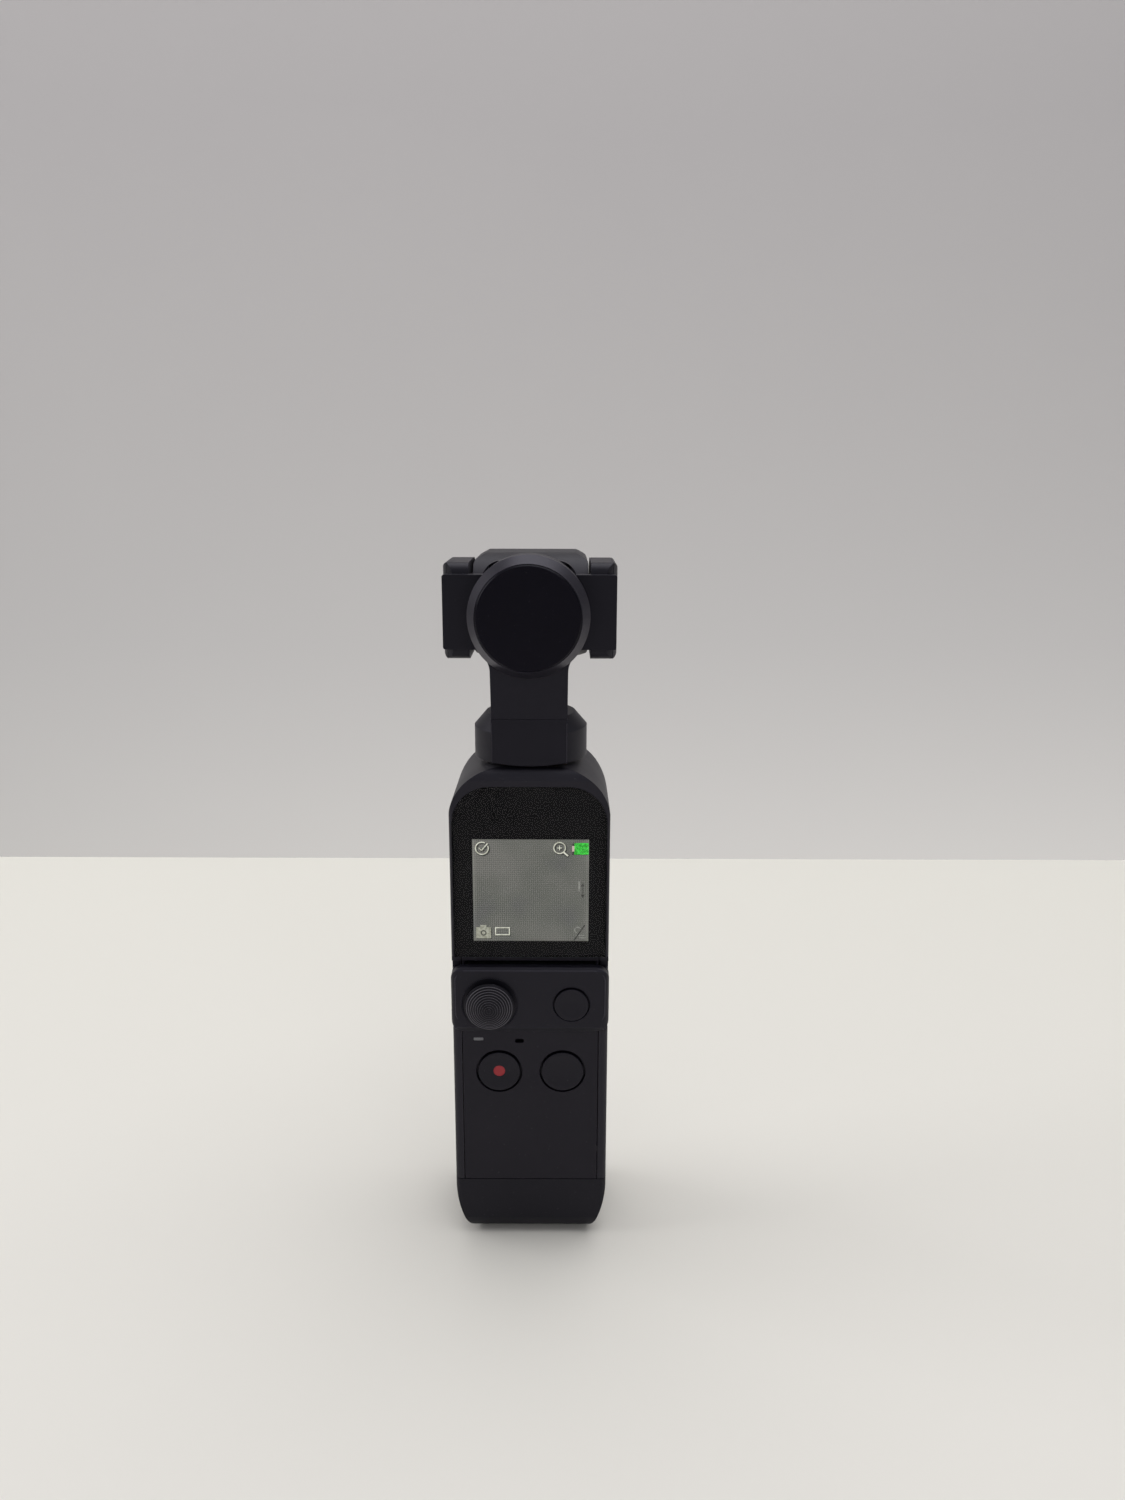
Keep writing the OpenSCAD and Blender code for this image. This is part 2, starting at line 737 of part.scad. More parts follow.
module base_cover() color(colour_body) {
    difference() {
        union() {
            difference() {
                base_form(0, 0, base_h);
                base_form(wall, base_floor, base_h + over);
            }
            translate([0, 0, base_floor]) linear_extrude(base_h - base_floor - fit)
                rounded(neck_w + 2 * (fit + sleeve_t), neck_d + 2 * (fit + sleeve_t), neck_r + sleeve_t);
        }
        translate([0, 0, base_floor]) linear_extrude(base_h)
            rounded(neck_w + 2 * fit, neck_d + 2 * fit, neck_r);
        translate([0, 0, -over]) linear_extrude(base_floor + 2 * over)
            rounded(port_mouth_w, port_mouth_d, port_mouth_r);
        for (s = [-1, 1]) post_y(strap_r, handle_d / 2 - 2 * wall, handle_d, s * strap_pitch / 2, strap_z);
    }
}

// Buttons on the handle

cap_proud = 0.15;
cap_flange_t = 0.4;
plunger_r = 1.3;
dish_d = 40;
dish_sag = 0.25;
dot_d = 2.1;
dot_t = 0.5;

// A push-button cap about its own place: dished face, flange behind the plate, plunger on the switch
module push_cap(x, z) {
    flange_y = front_back_y + fit / 2;
    difference() {
        post_y(cap_d / 2, face_y - cap_proud, flange_y, x, z);
        translate([x, face_y - cap_proud + dish_sag - dish_d / 2, z]) sphere(d = dish_d, $fn = 96);
    }
    post_y(cap_flange_r, flange_y, flange_y + cap_flange_t, x, z);
    post_y(plunger_r, flange_y + cap_flange_t, button_board_y - dome_h - cap_travel - fit, x, z);
}

module record_button() color(colour_body) {
    difference() {
        push_cap(record_x, cap_z);
        post_y(dot_d / 2, -handle_d, face_y - cap_proud + dish_sag + dot_t, record_x, cap_z);
    }
}

module record_dot() color("crimson") {
    y0 = face_y - cap_proud + dish_sag;
    post_y(dot_d / 2, y0, y0 + dot_t, record_x, cap_z);
}

module power_button() color(colour_body) push_cap(power_x, cap_z);

// Control module: slides on sideways

module_face_y = face_y - module_out;
module_lap = 0.35;
module_back_y = face_y + module_lap;
module_z1 = module_z0 + module_h;
module_bevel_z = 1.1;
module_bevel_y = 0.7;
module_top_r = 0.5;
module_end_r = 2.4;
module_plan_r = 1.3;
neck_clear = 0.15;
pivot_depth = 1.7;
pivot_y = module_face_y + pivot_depth;
pocket_r = 3.35;
module_skin = 0.65;
pocket_depth = 2.1;
pocket_y0 = module_face_y + module_skin;
pocket_y1 = pocket_y0 + pocket_depth;
dish_margin = 0.5;
dish_r = stick_d / 2 + dish_margin;
dish_depth = 0.35;
stem_hole_r = 2.3;
stem_r = 0.8;
ball_r = 0.95;
ring_r0 = 2;
ring_r1 = 2.95;
ring_t = 0.8;
pin_r = 0.35;
pin_l = 0.7;
module_button_out = 0.3;
module_button_travel = 0.3;
module_flange_lip = 0.65;
module_flange_r = module_button_d / 2 + module_flange_lip;
module_flange_t = 0.4;
module_board_t = 0.4;

// The module's profile seen from the side: outer body, neck between the rails' lips, tongue behind them
module module_profile() {
    z0 = module_z0;
    z1 = module_z1;
    polygon([[module_back_y, z0], [module_face_y + module_bevel_y, z0], [module_face_y, z0 + module_bevel_z],
        [module_face_y, z1 - module_top_r], [module_face_y + module_top_r, z1], [module_back_y, z1]]);
    lip_y = port_floor_y - rail_depth;
    neck_z0 = rail_z0 + rail_lip + neck_clear;
    neck_z1 = rail_z1 - rail_lip - neck_clear;
    translate([module_back_y - fit, neck_z0]) square([port_floor_y - module_back_y, neck_z1 - neck_z0]);
    tongue_y = lip_y + rail_lip_t + neck_clear;
    tongue_z0 = rail_z0 + rail_wall + neck_clear;
    translate([tongue_y, tongue_z0])
        square([port_floor_y - fit - tongue_y, rail_z1 - rail_wall - neck_clear - tongue_z0]);
}

module module_housing() color(colour_body) {
    difference() {
        intersection() {
            from_side(-module_w / 2, module_w / 2) module_profile();
            from_front(-handle_d, 0) translate([0, module_z0 + module_h / 2])
                rounded(module_w, module_h, module_end_r);
            translate([0, 0, module_z0]) linear_extrude(module_h)
                translate([0, module_face_y + handle_d / 2]) rounded(module_w, handle_d, module_plan_r);
        }
        post_y(dish_r, -handle_d, module_face_y + dish_depth, stick_x, stick_z);
        post_y(stem_hole_r, -handle_d, pocket_y0 + over, stick_x, stick_z);
        post_y(pocket_r, pocket_y0, pocket_y1, stick_x, stick_z);
        post_x(pin_r + run, stick_x - ring_r1 - pin_l - gap, stick_x + ring_r1 + pin_l + gap,
            pivot_y, stick_z);
        post_y(module_button_d / 2 + gap, -handle_d, pocket_y0 + over, module_button_x, stick_z);
        post_y(module_flange_r + fit, pocket_y0 + fit, pocket_y1, module_button_x, stick_z);
        block([-module_board_w / 2 - fit, pocket_y1 - fit, stick_z - module_board_h / 2 - fit],
            [module_board_w / 2 + fit, pocket_y1 + module_board_t + fit, stick_z + module_board_h / 2 + fit]);
        for (i = [0 : contact_n - 1])
            post_y(contact_r + fit / 2, pocket_y1, port_floor_y + over, contact_x(i), stick_z);
    }
}
module_board_w = 24;
module_board_h = 8;

module module_board() color(colour_board) {
    block([-module_board_w / 2, pocket_y1, stick_z - module_board_h / 2],
        [module_board_w / 2, pocket_y1 + module_board_t, stick_z + module_board_h / 2]);
    post_y(plunger_r, pocket_y1 - dome_h, pocket_y1, module_button_x, stick_z);
}

module module_contacts() color("gold") {
    for (i = [0 : contact_n - 1])
        post_y(contact_r, pocket_y1 + module_board_t, port_floor_y - fit, contact_x(i), stick_z);
}

// Stick: a ring that rocks up and down carries a stem that rocks sideways

module stick_cradle() color(colour_metal) {
    difference() {
        union() {
            post_y(ring_r1, pivot_y - ring_t / 2, pivot_y + ring_t / 2, stick_x, stick_z);
            post_x(pin_r, stick_x - ring_r1 - pin_l, stick_x + ring_r1 + pin_l, pivot_y, stick_z);
        }
        post_y(ring_r0, pivot_y - ring_t, pivot_y + ring_t, stick_x, stick_z);
        translate([stick_x, pivot_y, stick_z - ring_r1 - over])
            cylinder(r = pin_r + run, h = 2 * (ring_r1 + over));
    }
}

cap_lift = 0.8;
cap_under_y = module_face_y - cap_lift;

module stick_stem() color(colour_metal) {
    translate([stick_x, pivot_y, stick_z]) sphere(r = ball_r);
    post_y(stem_r, cap_under_y - stem_seat, pivot_y, stick_x, stick_z);
    translate([stick_x, pivot_y, stick_z - ring_r1 + fit]) cylinder(r = pin_r, h = 2 * (ring_r1 - fit));
}
stem_seat = 0.6;

stick_rim = 0.45;
stick_dome = 1.6;

// The cap's stepped profile: each step goes in by one pitch and up by what the dome rises there
function step_r(i) = stick_d / 2 * (1 - i / (stick_steps + 1));
function step_h(i) = stick_rim + stick_dome * sin(90 * i / (stick_steps + 1));
stick_profile = [for (i = [0 : stick_steps]) each [[step_r(i), i == 0 ? 0 : step_h(i - 1)],
    [step_r(i), step_h(i)]]];

module stick_cap() color(colour_body) {
    difference() {
        translate([stick_x, cap_under_y, stick_z]) rotate([90, 0, 0]) rotate_extrude()
            polygon(concat([[0, 0]], stick_profile, [[0, step_h(stick_steps)]]));
        post_y(stem_r, cap_under_y - stem_seat, cap_under_y + over, stick_x, stick_z);
    }
}

module module_button() color(colour_body) {
    y0 = module_face_y - module_button_out;
    flange_y = pocket_y0 + 2 * fit;
    difference() {
        post_y(module_button_d / 2, y0, flange_y, module_button_x, stick_z);
        translate([module_button_x, y0 + dish_sag / 2 - dish_d / 2, stick_z]) sphere(d = dish_d, $fn = 96);
    }
    post_y(module_flange_r - gap, flange_y, flange_y + module_flange_t, module_button_x, stick_z);
    post_y(plunger_r, flange_y + module_flange_t, pocket_y1 - dome_h - module_button_travel - fit,
        module_button_x, stick_z);
}

// Gimbal arm: collar over the pan motor, arm up its front, and the roll motor's housing

collar_z0 = handle_h + gap;
collar_wall = 0.65;
collar_r = collar_d / 2;
collar_top_t = 1.7;
cup_t = 0.5;
magnet_t = 0.6;
arm_back = 5.3;
arm_cover_t = 0.7;
arm_top_w = 13;
flare_r = 4;
bezel_lip = 0.1;
housing_r = bezel_d / 2 - bezel_lip;
housing_wall = 0.75;
housing_back_t = 0.8;
housing_y0 = -arm_face;
housing_y1 = -arm_back;
channel_w = 7;
channel_d = 1.6;
roll_hub_r = 3.8;

// The arm seen from the front: a strip that flares out into the motor's round housing
module arm_outline(clear, z0) {
    w0 = arm_w / 2 + clear;
    w1 = arm_top_w / 2 + clear;
    flare_z = head_z - sqrt(pow(housing_r + flare_r, 2) - pow(w1 + flare_r, 2));
    reach = housing_r / (housing_r + flare_r);
    meet_x = (w1 + flare_r) * reach;
    meet_z = head_z - (head_z - flare_z) * reach;
    difference() {
        polygon([[-w0, z0], [w0, z0], [w1, flare_z], [meet_x, meet_z], [-meet_x, meet_z], [-w1, flare_z]]);
        for (s = [-1, 1]) translate([s * (w1 + flare_r), flare_z]) circle(flare_r);
    }
}

foot_bow_r = 34;
cover_lift = 0.5;
cover_z0 = collar_top_z + cover_lift;

module arm_frame() color(colour_body) {
    cavity_r = collar_r - collar_wall;
    cone_r = collar_top_d / 2 - collar_wall;
    cavity_z1 = collar_top_z - collar_top_t;
    difference() {
        union() {
            rotate_extrude() difference() {
                polygon([[0, collar_z0], [collar_r, collar_z0], [collar_r, collar_edge_z],
                    [collar_top_d / 2, collar_top_z], [0, collar_top_z]]);
                polygon([[0, collar_z0 - over], [cavity_r, collar_z0 - over], [cavity_r, collar_edge_z - fit],
                    [cone_r, cavity_z1], [0, cavity_z1]]);
            }
            difference() {
                from_front(-arm_face, -arm_back) intersection() {
                    arm_outline(0, collar_z0 + fit);
                    translate([0, collar_z0 + fit + foot_bow_r]) circle(foot_bow_r);
                }
                translate([0, 0, collar_z0 - over])
                    cylinder(r = cavity_r, h = collar_edge_z - collar_z0 + over);
                translate([0, 0, collar_edge_z - fit]) cylinder(r1 = cavity_r, r2 = cone_r,
                    h = cavity_z1 - collar_edge_z + fit);
            }
            post_y(housing_r, housing_y0, housing_y1, 0, head_z);
        }
        from_front(-handle_d, -arm_face + arm_cover_t + fit) difference() {
            arm_outline(fit, cover_z0 - fit / 2);
            translate([0, head_z]) circle(housing_r);
        }
        post_y(housing_r - housing_wall, -handle_d, housing_y1 - housing_back_t, 0, head_z);
        post_y(roll_hub_r + gap, -handle_d, 0, 0, head_z);
        block([-channel_w / 2, -handle_d, cover_z0 + housing_wall],
            [channel_w / 2, -arm_face + arm_cover_t + fit + channel_d,
                head_z - housing_r + housing_wall + over]);
        translate([0, 0, cavity_z1 - over]) cylinder(r = pan_shaft_r, h = handle_h);
        for (s = [-1, 1]) post_y(screw_shank_r, -handle_d, -arm_back + over, s * arm_screw_x, arm_screw_z);
    }
}
arm_screw_x = 4.6;
arm_screw_drop = 13;
arm_screw_z = head_z - arm_screw_drop;

module arm_cover() color(colour_body) {
    from_front(-arm_face, -arm_face + arm_cover_t) difference() {
        arm_outline(0, cover_z0);
        translate([0, head_z]) circle(housing_r + fit);
    }
    for (s = [-1, 1])
        post_y(screw_shank_r, -arm_face + arm_cover_t, -arm_back - fit, s * arm_screw_x, arm_screw_z);
}

module pan_rotor() color(colour_steel) {
    cup_r = collar_r - collar_wall;
    z0 = collar_z0 + fit;
    difference() {
        translate([0, 0, z0]) cylinder(r = cup_r, h = collar_edge_z - fit - z0);
        translate([0, 0, z0 - over]) cylinder(r = cup_r - cup_t, h = handle_h);
    }
    difference() {
        translate([0, 0, flange_z - fit]) cylinder(r = pan_shaft_r, h = collar_top_z - flange_z - fit);
        translate([0, 0, flange_z - over]) cylinder(r = pan_bore_r, h = handle_h);
    }
}

module pan_magnets() color(colour_magnet) {
    cup_r = collar_r - collar_wall - cup_t;
    translate([0, 0, pan_core_z]) magnet_set(cup_r - magnet_t, cup_r, pan_core_h, pan_poles);
}
pan_poles = 12;

disc_d = bezel_d - 2 * bezel_w;
disc_out = 0.3;
bezel_y0 = -disc_face + disc_out;
bezel_seat_t = 0.6;
bezel_seat_w = 0.7;
bezel_rim = 0.15;
bezel_straight = 0.7;

module roll_bezel() color(colour_edge) {
    disc_r = disc_d / 2;
    depth = -bezel_y0 - arm_face;
    translate([0, bezel_y0, head_z]) rotate([-90, 0, 0]) rotate_extrude()
        polygon([[disc_r + fit / 2, 0], [disc_r + bezel_rim, 0], [bezel_d / 2, depth - bezel_straight],
            [bezel_d / 2, depth], [housing_r - housing_wall, depth], [disc_r - bezel_seat_w, depth / 2],
            [disc_r - bezel_seat_w, bezel_seat_t], [disc_r + fit / 2, bezel_seat_t]]);
}

module roll_cover() color(colour_dark) {
    depth = bezel_y0 + bezel_seat_t + disc_face;
    translate([0, -disc_face, head_z]) rotate([-90, 0, 0]) rotate_extrude()
        polygon([[0, 0], [disc_d / 2 - cover_edge, 0], [disc_d / 2, cover_edge],
            [disc_d / 2, depth], [0, depth]]);
}
cover_edge = 0.2;

roll_base_gap = 0.2;
roll_base_y = bezel_y0 + bezel_seat_t + roll_base_gap;
roll_base_t = 0.8;
roll_cup_inset = 1.05;
roll_cup_r = disc_d / 2 - roll_cup_inset;
motor_air = 0.4;
roll_core_r = roll_cup_r - cup_t - magnet_t - motor_air;
tube_share = 0.525;
roll_tube_r = roll_core_r * tube_share;
tube_wall = 0.6;
roll_bearing_r = roll_tube_r - tube_wall;
roll_bearing_h = 1.5;
roll_tube_y1 = -7.9;
bearing_race = 1.4;
roll_shaft_r = roll_bearing_r - bearing_race;
roll_core_y = -10.9;
roll_core_h = 2.4;
roll_wire = 0.45;
roll_tooth_w = 0.9;

module roll_motor_base() color(colour_metal) {
    difference() {
        union() {
            post_y(disc_d / 2 - bezel_seat_w - fit, roll_base_y, roll_base_y + roll_base_t, 0, head_z);
            post_y(roll_tube_r, roll_base_y, roll_tube_y1, 0, head_z);
        }
        post_y(roll_bearing_r, -handle_d, 0, 0, head_z);
    }
}

// Places a piece that is drawn about z on the roll axis, with its foot at a distance
module on_roll(y) {
    translate([0, y, head_z]) rotate([-90, 0, 0]) children();
}

module roll_stator() color(colour_steel) {
    on_roll(roll_core_y) toothed_core(roll_tube_r, roll_core_r, roll_core_h, pan_teeth, roll_tooth_w, shoe_t);
}

module roll_coils() color(colour_copper) {
    on_roll(roll_core_y) coil_set(roll_tube_r + shoe_t * 2, roll_core_r - shoe_t - 2 * fit, roll_core_h,
        pan_teeth, roll_tooth_w, roll_wire);
}

module roll_bearings() color(colour_steel) {
    for (y = [roll_base_y + fit, roll_tube_y1 - roll_bearing_h])
        on_roll(y) bearing(roll_bearing_r, roll_shaft_r, roll_bearing_h);
}

// Yoke: the cross-plate that the roll motor turns, with the two arms that hold the camera

plate_inset = 0.25;
plate_y0 = -5;
plate_t = 2.4;
plate_half_w = yoke_w / 2 - plate_inset;
cross_down = 6.2;
cross_up = 6.35;
cross_z0 = head_z - cross_down;
cross_z1 = head_z + cross_up;
plate_r = 0.4;
hump_half_w = 7.9;
hump_down = 7.7;
hump_up = 8.7;
hump_z0 = head_z - hump_down;
hump_z1 = head_z + hump_up;
hump_r = 3.2;
hump_t = 2.5;
void_x = 6.1;
void_up = 7.45;
void_z = head_z + void_up;
void_r = 0.75;
void_depth = 1.6;
arm_y0 = -3.6;
arm_front = 6.6;
arm_rear_r = 2;
arm_front_r = 6;
arm_edge_r = 1.1;
yoke_plan_r = 6;
yoke_plan_y0 = -5.2;
yoke_plan_out = 2.6;
gimbal_wall = 0.6;
side_cap_t = 0.8;
motor_cavity_r = 7.3;
yoke_half = yoke_w / 2;
gap_half = yoke_half - yoke_side_t;

// A yoke arm seen from the side
module yoke_arm_outline(inset) {
    y0 = arm_y0 + inset;
    y1 = tilt_y + arm_front - inset;
    half = yoke_arm_h / 2 - inset;
    rr = arm_rear_r - inset / 2;
    rf = arm_front_r - inset;
    translate([y0 + rr, head_z - half]) square([y1 - y0 - rr - rf, 2 * half]);
    translate([y0, head_z - half + rr]) square([2 * rr, 2 * (half - rr)]);
    translate([y1 - 2 * rf, head_z - half + rf]) square([2 * rf, 2 * (half - rf)]);
    for (s = [-1, 1]) {
        translate([y0 + rr, head_z + s * (half - rr)]) circle(rr);
        translate([y1 - rf, head_z + s * (half - rf)]) circle(rf);
    }
}

// The form that rounds the arms' outer edges, as seen from the front and from above
module yoke_arm_form() {
    y1 = tilt_y + arm_front + yoke_plan_out;
    intersection() {
        from_front(-handle_d, handle_d) translate([0, head_z]) rounded(yoke_w, yoke_arm_h, arm_edge_r);
        linear_extrude(2 * head_z) translate([0, (yoke_plan_y0 + y1) / 2])
            rounded(yoke_w + blend, y1 - yoke_plan_y0, yoke_plan_r);
    }
}

module yoke_frame() color(colour_body) {
    difference() {
        union() {
            from_front(plate_y0, plate_y0 + plate_t) translate([0, (cross_z0 + cross_z1) / 2])
                rounded(2 * plate_half_w, cross_z1 - cross_z0, plate_r);
            from_front(plate_y0, plate_y0 + hump_t) translate([0, (hump_z0 + hump_z1) / 2])
                rounded(2 * hump_half_w, hump_z1 - hump_z0, hump_r);
            intersection() {
                union() {
                    from_side(gap_half, yoke_half - side_cap_t - fit / 2) yoke_arm_outline(0);
                    from_side(side_cap_t + fit / 2 - yoke_half, -gap_half) yoke_arm_outline(0);
                }
                yoke_arm_form();
            }
        }
        for (s = [-1, 1]) translate([s * (cap_x - fit / 2 + handle_w / 2), 0, 0])
            from_side(-handle_w / 2, handle_w / 2) yoke_arm_outline(-fit);
        for (s = [-1, 1]) post_y(void_r, -handle_d, plate_y0 + void_depth, s * void_x, void_z);
        post_x(motor_cavity_r, gap_half + gimbal_wall, handle_w, tilt_y, head_z);
        post_x(tilt_hub_r + gap, 0, handle_w, tilt_y, head_z);
        post_x(motor_cavity_r, -handle_w, -gap_half - idle_seat_l, tilt_y, head_z);
        post_x(bearing_r, -handle_w, -gap_half - idle_lip, tilt_y, head_z);
        post_x(pan_shaft_r + gap, -handle_w, 0, tilt_y, head_z);
    }
}
tilt_hub_r = 3;
idle_seat_l = 2.3;
idle_lip = 0.4;

roll_cup_y0 = -11.1;
roll_cup_y1 = -6.5;
roll_cup_back = 0.7;

module roll_rotor() color(colour_steel) {
    difference() {
        union() {
            post_y(roll_cup_r, roll_cup_y0, roll_cup_y1, 0, head_z);
            post_y(roll_hub_r, roll_cup_y1, plate_y0, 0, head_z);
        }
        post_y(roll_cup_r - cup_t, -handle_d, roll_cup_y1 - roll_cup_back, 0, head_z);
    }
    post_y(roll_shaft_r, roll_base_y + fit, roll_cup_y1 - roll_cup_back, 0, head_z);
}

module roll_magnets() color(colour_magnet) {
    r = roll_cup_r - cup_t;
    on_roll(roll_core_y) magnet_set(r - magnet_t, r, roll_core_h, pan_poles);
}

tilt_tube_r = 2.2;
tilt_bearing_r = 1.7;
tilt_bearing_h = 0.9;
tilt_shaft_r = 0.8;
tilt_core_h = 1.4;
tilt_core_r = 5.3;
tilt_wire = 0.35;
tilt_tooth_w = 0.7;
tilt_cup_r = 7;
tilt_cup_back = 0.5;
cap_x = yoke_half - side_cap_t;
tilt_top_gap = 0.5;
tilt_core_x = cap_x - tilt_top_gap - tilt_core_h;
tilt_cup_x0 = gap_half + gimbal_wall + gap / 2;
tilt_tube_x0 = tilt_core_x - gap;

// Places a piece that is drawn about z on the tilt axis, with its foot at a distance
module on_tilt(x) {
    translate([x, tilt_y, head_z]) rotate([0, 90, 0]) children();
}

module side_cap(x0, x1) {
    intersection() {
        from_side(x0, x1) yoke_arm_outline(0);
        yoke_arm_form();
    }
}

module motor_cap() color(colour_body) {
    difference() {
        union() {
            side_cap(cap_x, yoke_half);
            post_x(tilt_tube_r, tilt_tube_x0, cap_x, tilt_y, head_z);
        }
        post_x(tilt_bearing_r, 0, cap_x, tilt_y, head_z);
    }
}

module bearing_cap() color(colour_body) {
    side_cap(-yoke_half, -cap_x);
    difference() {
        post_x(motor_cavity_r - fit, -cap_x, -cap_x + spigot_l, tilt_y, head_z);
        post_x(motor_cavity_r - wall, -cap_x - over, -cap_x + spigot_l + over, tilt_y, head_z);
    }
}
spigot_l = 1;

module tilt_stator() color(colour_steel) {
    on_tilt(tilt_core_x) toothed_core(tilt_tube_r, tilt_core_r, tilt_core_h, pan_teeth, tilt_tooth_w, shoe_t);
}

module tilt_coils() color(colour_copper) {
    on_tilt(tilt_core_x) coil_set(tilt_tube_r + shoe_t * 2, tilt_core_r - shoe_t - 2 * fit, tilt_core_h,
        pan_teeth, tilt_tooth_w, tilt_wire);
}

module tilt_bearings() color(colour_steel) {
    for (x = [tilt_tube_x0 + fit, cap_x - tilt_bearing_h]) on_tilt(x)
        bearing(tilt_bearing_r, tilt_shaft_r, tilt_bearing_h);
    on_tilt(-gap_half - idle_lip - bearing_h) bearing(bearing_r, pan_shaft_r, bearing_h);
}

// Camera head, which the tilt motor turns between the yoke's arms

camera_w = 2 * (gap_half - gap);
camera_half = camera_w / 2;
camera_rear_r = camera_h / 2;
camera_slope_w = 2.1;
camera_slope_h = 1;
camera_edge_w = 0.3;
camera_edge_h = 1.7;
camera_front_r = 3.4;
camera_split = 14.5;
camera_seam = 0.1;
pin_reach = 2.6;

// The camera housing seen from the side: round about the tilt axis at the back, rounded at the front
module camera_side_outline(inset) {
    r = camera_rear_r - inset;
    rf = camera_front_r - inset / 2;
    y1 = camera_face - inset;
    translate([tilt_y, head_z]) circle(r);
    translate([tilt_y, head_z - r]) square([y1 - rf - tilt_y, 2 * r]);
    translate([y1 - 2 * rf, head_z - r + rf]) square([2 * rf, 2 * (r - rf)]);
    for (s = [-1, 1]) translate([y1 - rf, head_z + s * (r - rf)]) circle(rf);
}

// The camera housing seen from the front: flat top and bottom that slope off towards the sides
module camera_front_outline(inset) {
    w = camera_half - inset;
    h = camera_rear_r - inset;
    corner = [[w - camera_slope_w, h], [w - camera_edge_w, h - camera_slope_h], [w, h - camera_edge_h]];
    polygon([for (s = [[1, 1], [1, -1], [-1, -1], [-1, 1]], i = [0 : 2])
        let (p = corner[s[0] * s[1] > 0 ? i : 2 - i]) [s[0] * p[0], s[1] * p[1]]]);
}

module camera_form(inset) {
    intersection() {
        from_side(inset - camera_half, camera_half - inset) camera_side_outline(inset);
        from_front(-handle_d, 2 * handle_d) translate([0, head_z]) camera_front_outline(inset);
        translate([0, camera_face - inset - 2 * handle_d, 0]) linear_extrude(2 * handle_h)
            translate([0, handle_d]) rounded(camera_w - 2 * inset, 2 * handle_d, camera_nose_r - inset);
    }
}

module camera_shell() color(colour_body) {
    difference() {
        camera_form(0);
        camera_form(camera_wall);
        block([-handle_w, camera_split, 0], [handle_w, 2 * handle_d, 2 * handle_h]);
        post_x(tilt_boss_r, 0, camera_half + over, tilt_y, head_z);
    }
    post_x(pan_shaft_r, -camera_half - pin_reach, -camera_half + camera_wall, tilt_y, head_z);
    post_x(2 * pan_shaft_r, -camera_half + camera_wall - fit, -camera_half + camera_wall + wall,
        tilt_y, head_z);
}
tilt_boss_r = 2.2;

module camera_front() color(colour_body) {
    difference() {
        camera_form(0);
        camera_form(camera_wall);
        block([-handle_w, -handle_d, 0], [handle_w, camera_split + camera_seam, 2 * handle_h]);
        post_y(barrel_r + fit, 0, 2 * handle_d, 0, head_z);
    }
}

// The optics are round or square, so they follow the smaller half size of the housing
camera_room = min(camera_half, camera_rear_r);
barrel_clear = 3;
barrel_r = camera_room - barrel_clear;
barrel_wall = 1.1;
barrel_bore_r = barrel_r - barrel_wall;
barrel_y0 = 9.6;
barrel_back = 0.3;
barrel_y1 = camera_face - barrel_back;
ring_step = 0.3;
ring_bore_r = barrel_r - ring_step;
ring_edge = 0.5;
ring_lip = 0.8;
holder_clear = 2.45;
holder_w = 2 * (camera_room - holder_clear);
holder_y0 = 6.4;

module lens_ring() color(colour_dark) {
    r = lens_ring_d / 2;
    translate([0, camera_face, head_z]) rotate([-90, 0, 0]) rotate_extrude()
        polygon([[ring_bore_r, 0], [r, 0], [r, lens_ring_out - ring_edge], [r - ring_edge, lens_ring_out],
            [r - ring_lip, lens_ring_out], [ring_bore_r, lens_ring_out - ring_lip]]);
}

lens_rise = 0.4;
lens_front_y = camera_face + lens_rise;
lens_t = 1.4;
lens_ball_r = 24;

module lens_glass() color("midnightblue") {
    intersection() {
        post_y(ring_bore_r - fit / 2, lens_front_y - lens_t / 2, lens_front_y + lens_t, 0, head_z);
        translate([0, lens_front_y + lens_t - lens_ball_r, head_z]) sphere(r = lens_ball_r, $fn = 128);
    }
}

module lens_barrel() color(colour_dark) {
    difference() {
        union() {
            post_y(barrel_r, barrel_y0, barrel_y1, 0, head_z);
            block([-holder_w / 2, holder_y0, head_z - holder_w / 2],
                [holder_w / 2, barrel_y0, head_z + holder_w / 2]);
        }
        post_y(barrel_bore_r, barrel_y0, handle_d * 2, 0, head_z);
        block([-sensor_w / 2 - fit, 0, head_z - sensor_h / 2 - fit], [sensor_w / 2 + fit, barrel_y0 + over,
            head_z + sensor_h / 2 + fit]);
    }
}
holder_wall = 2.05;
sensor_w = holder_w - 2 * holder_wall;
sensor_h = sensor_w * 4 / 5;
sensor_t = 1.1;

element_y = [11.2, 14.2, 17.4];
element_t = 2;
element_ball_r = 16;

// Three lenses in the barrel: two that bulge forwards and one hollowed at its back
module lens_elements() color("lightsteelblue") {
    for (i = [0 : len(element_y) - 1]) difference() {
        intersection() {
            post_y(barrel_bore_r, element_y[i], element_y[i] + element_t, 0, head_z);
            translate([0, element_y[i] + element_t - element_ball_r, head_z])
                sphere(r = element_ball_r, $fn = 160);
        }
        if (i == 1) translate([0, element_y[i] + element_t / 3 - element_ball_r, head_z])
            sphere(r = element_ball_r, $fn = 160);
    }
}

sensor_board_t = 0.8;
sensor_board_clear = 2;
sensor_board_w = 2 * (camera_room - sensor_board_clear);

module image_sensor() color(colour_magnet) {
    block([-sensor_w / 2, holder_y0, head_z - sensor_h / 2],
        [sensor_w / 2, holder_y0 + sensor_t, head_z + sensor_h / 2]);
}

module sensor_board() color(colour_board) {
    y1 = holder_y0;
    block([-sensor_board_w / 2, y1 - sensor_board_t, head_z - sensor_board_w / 2],
        [sensor_board_w / 2, y1, head_z + sensor_board_w / 2]);
}

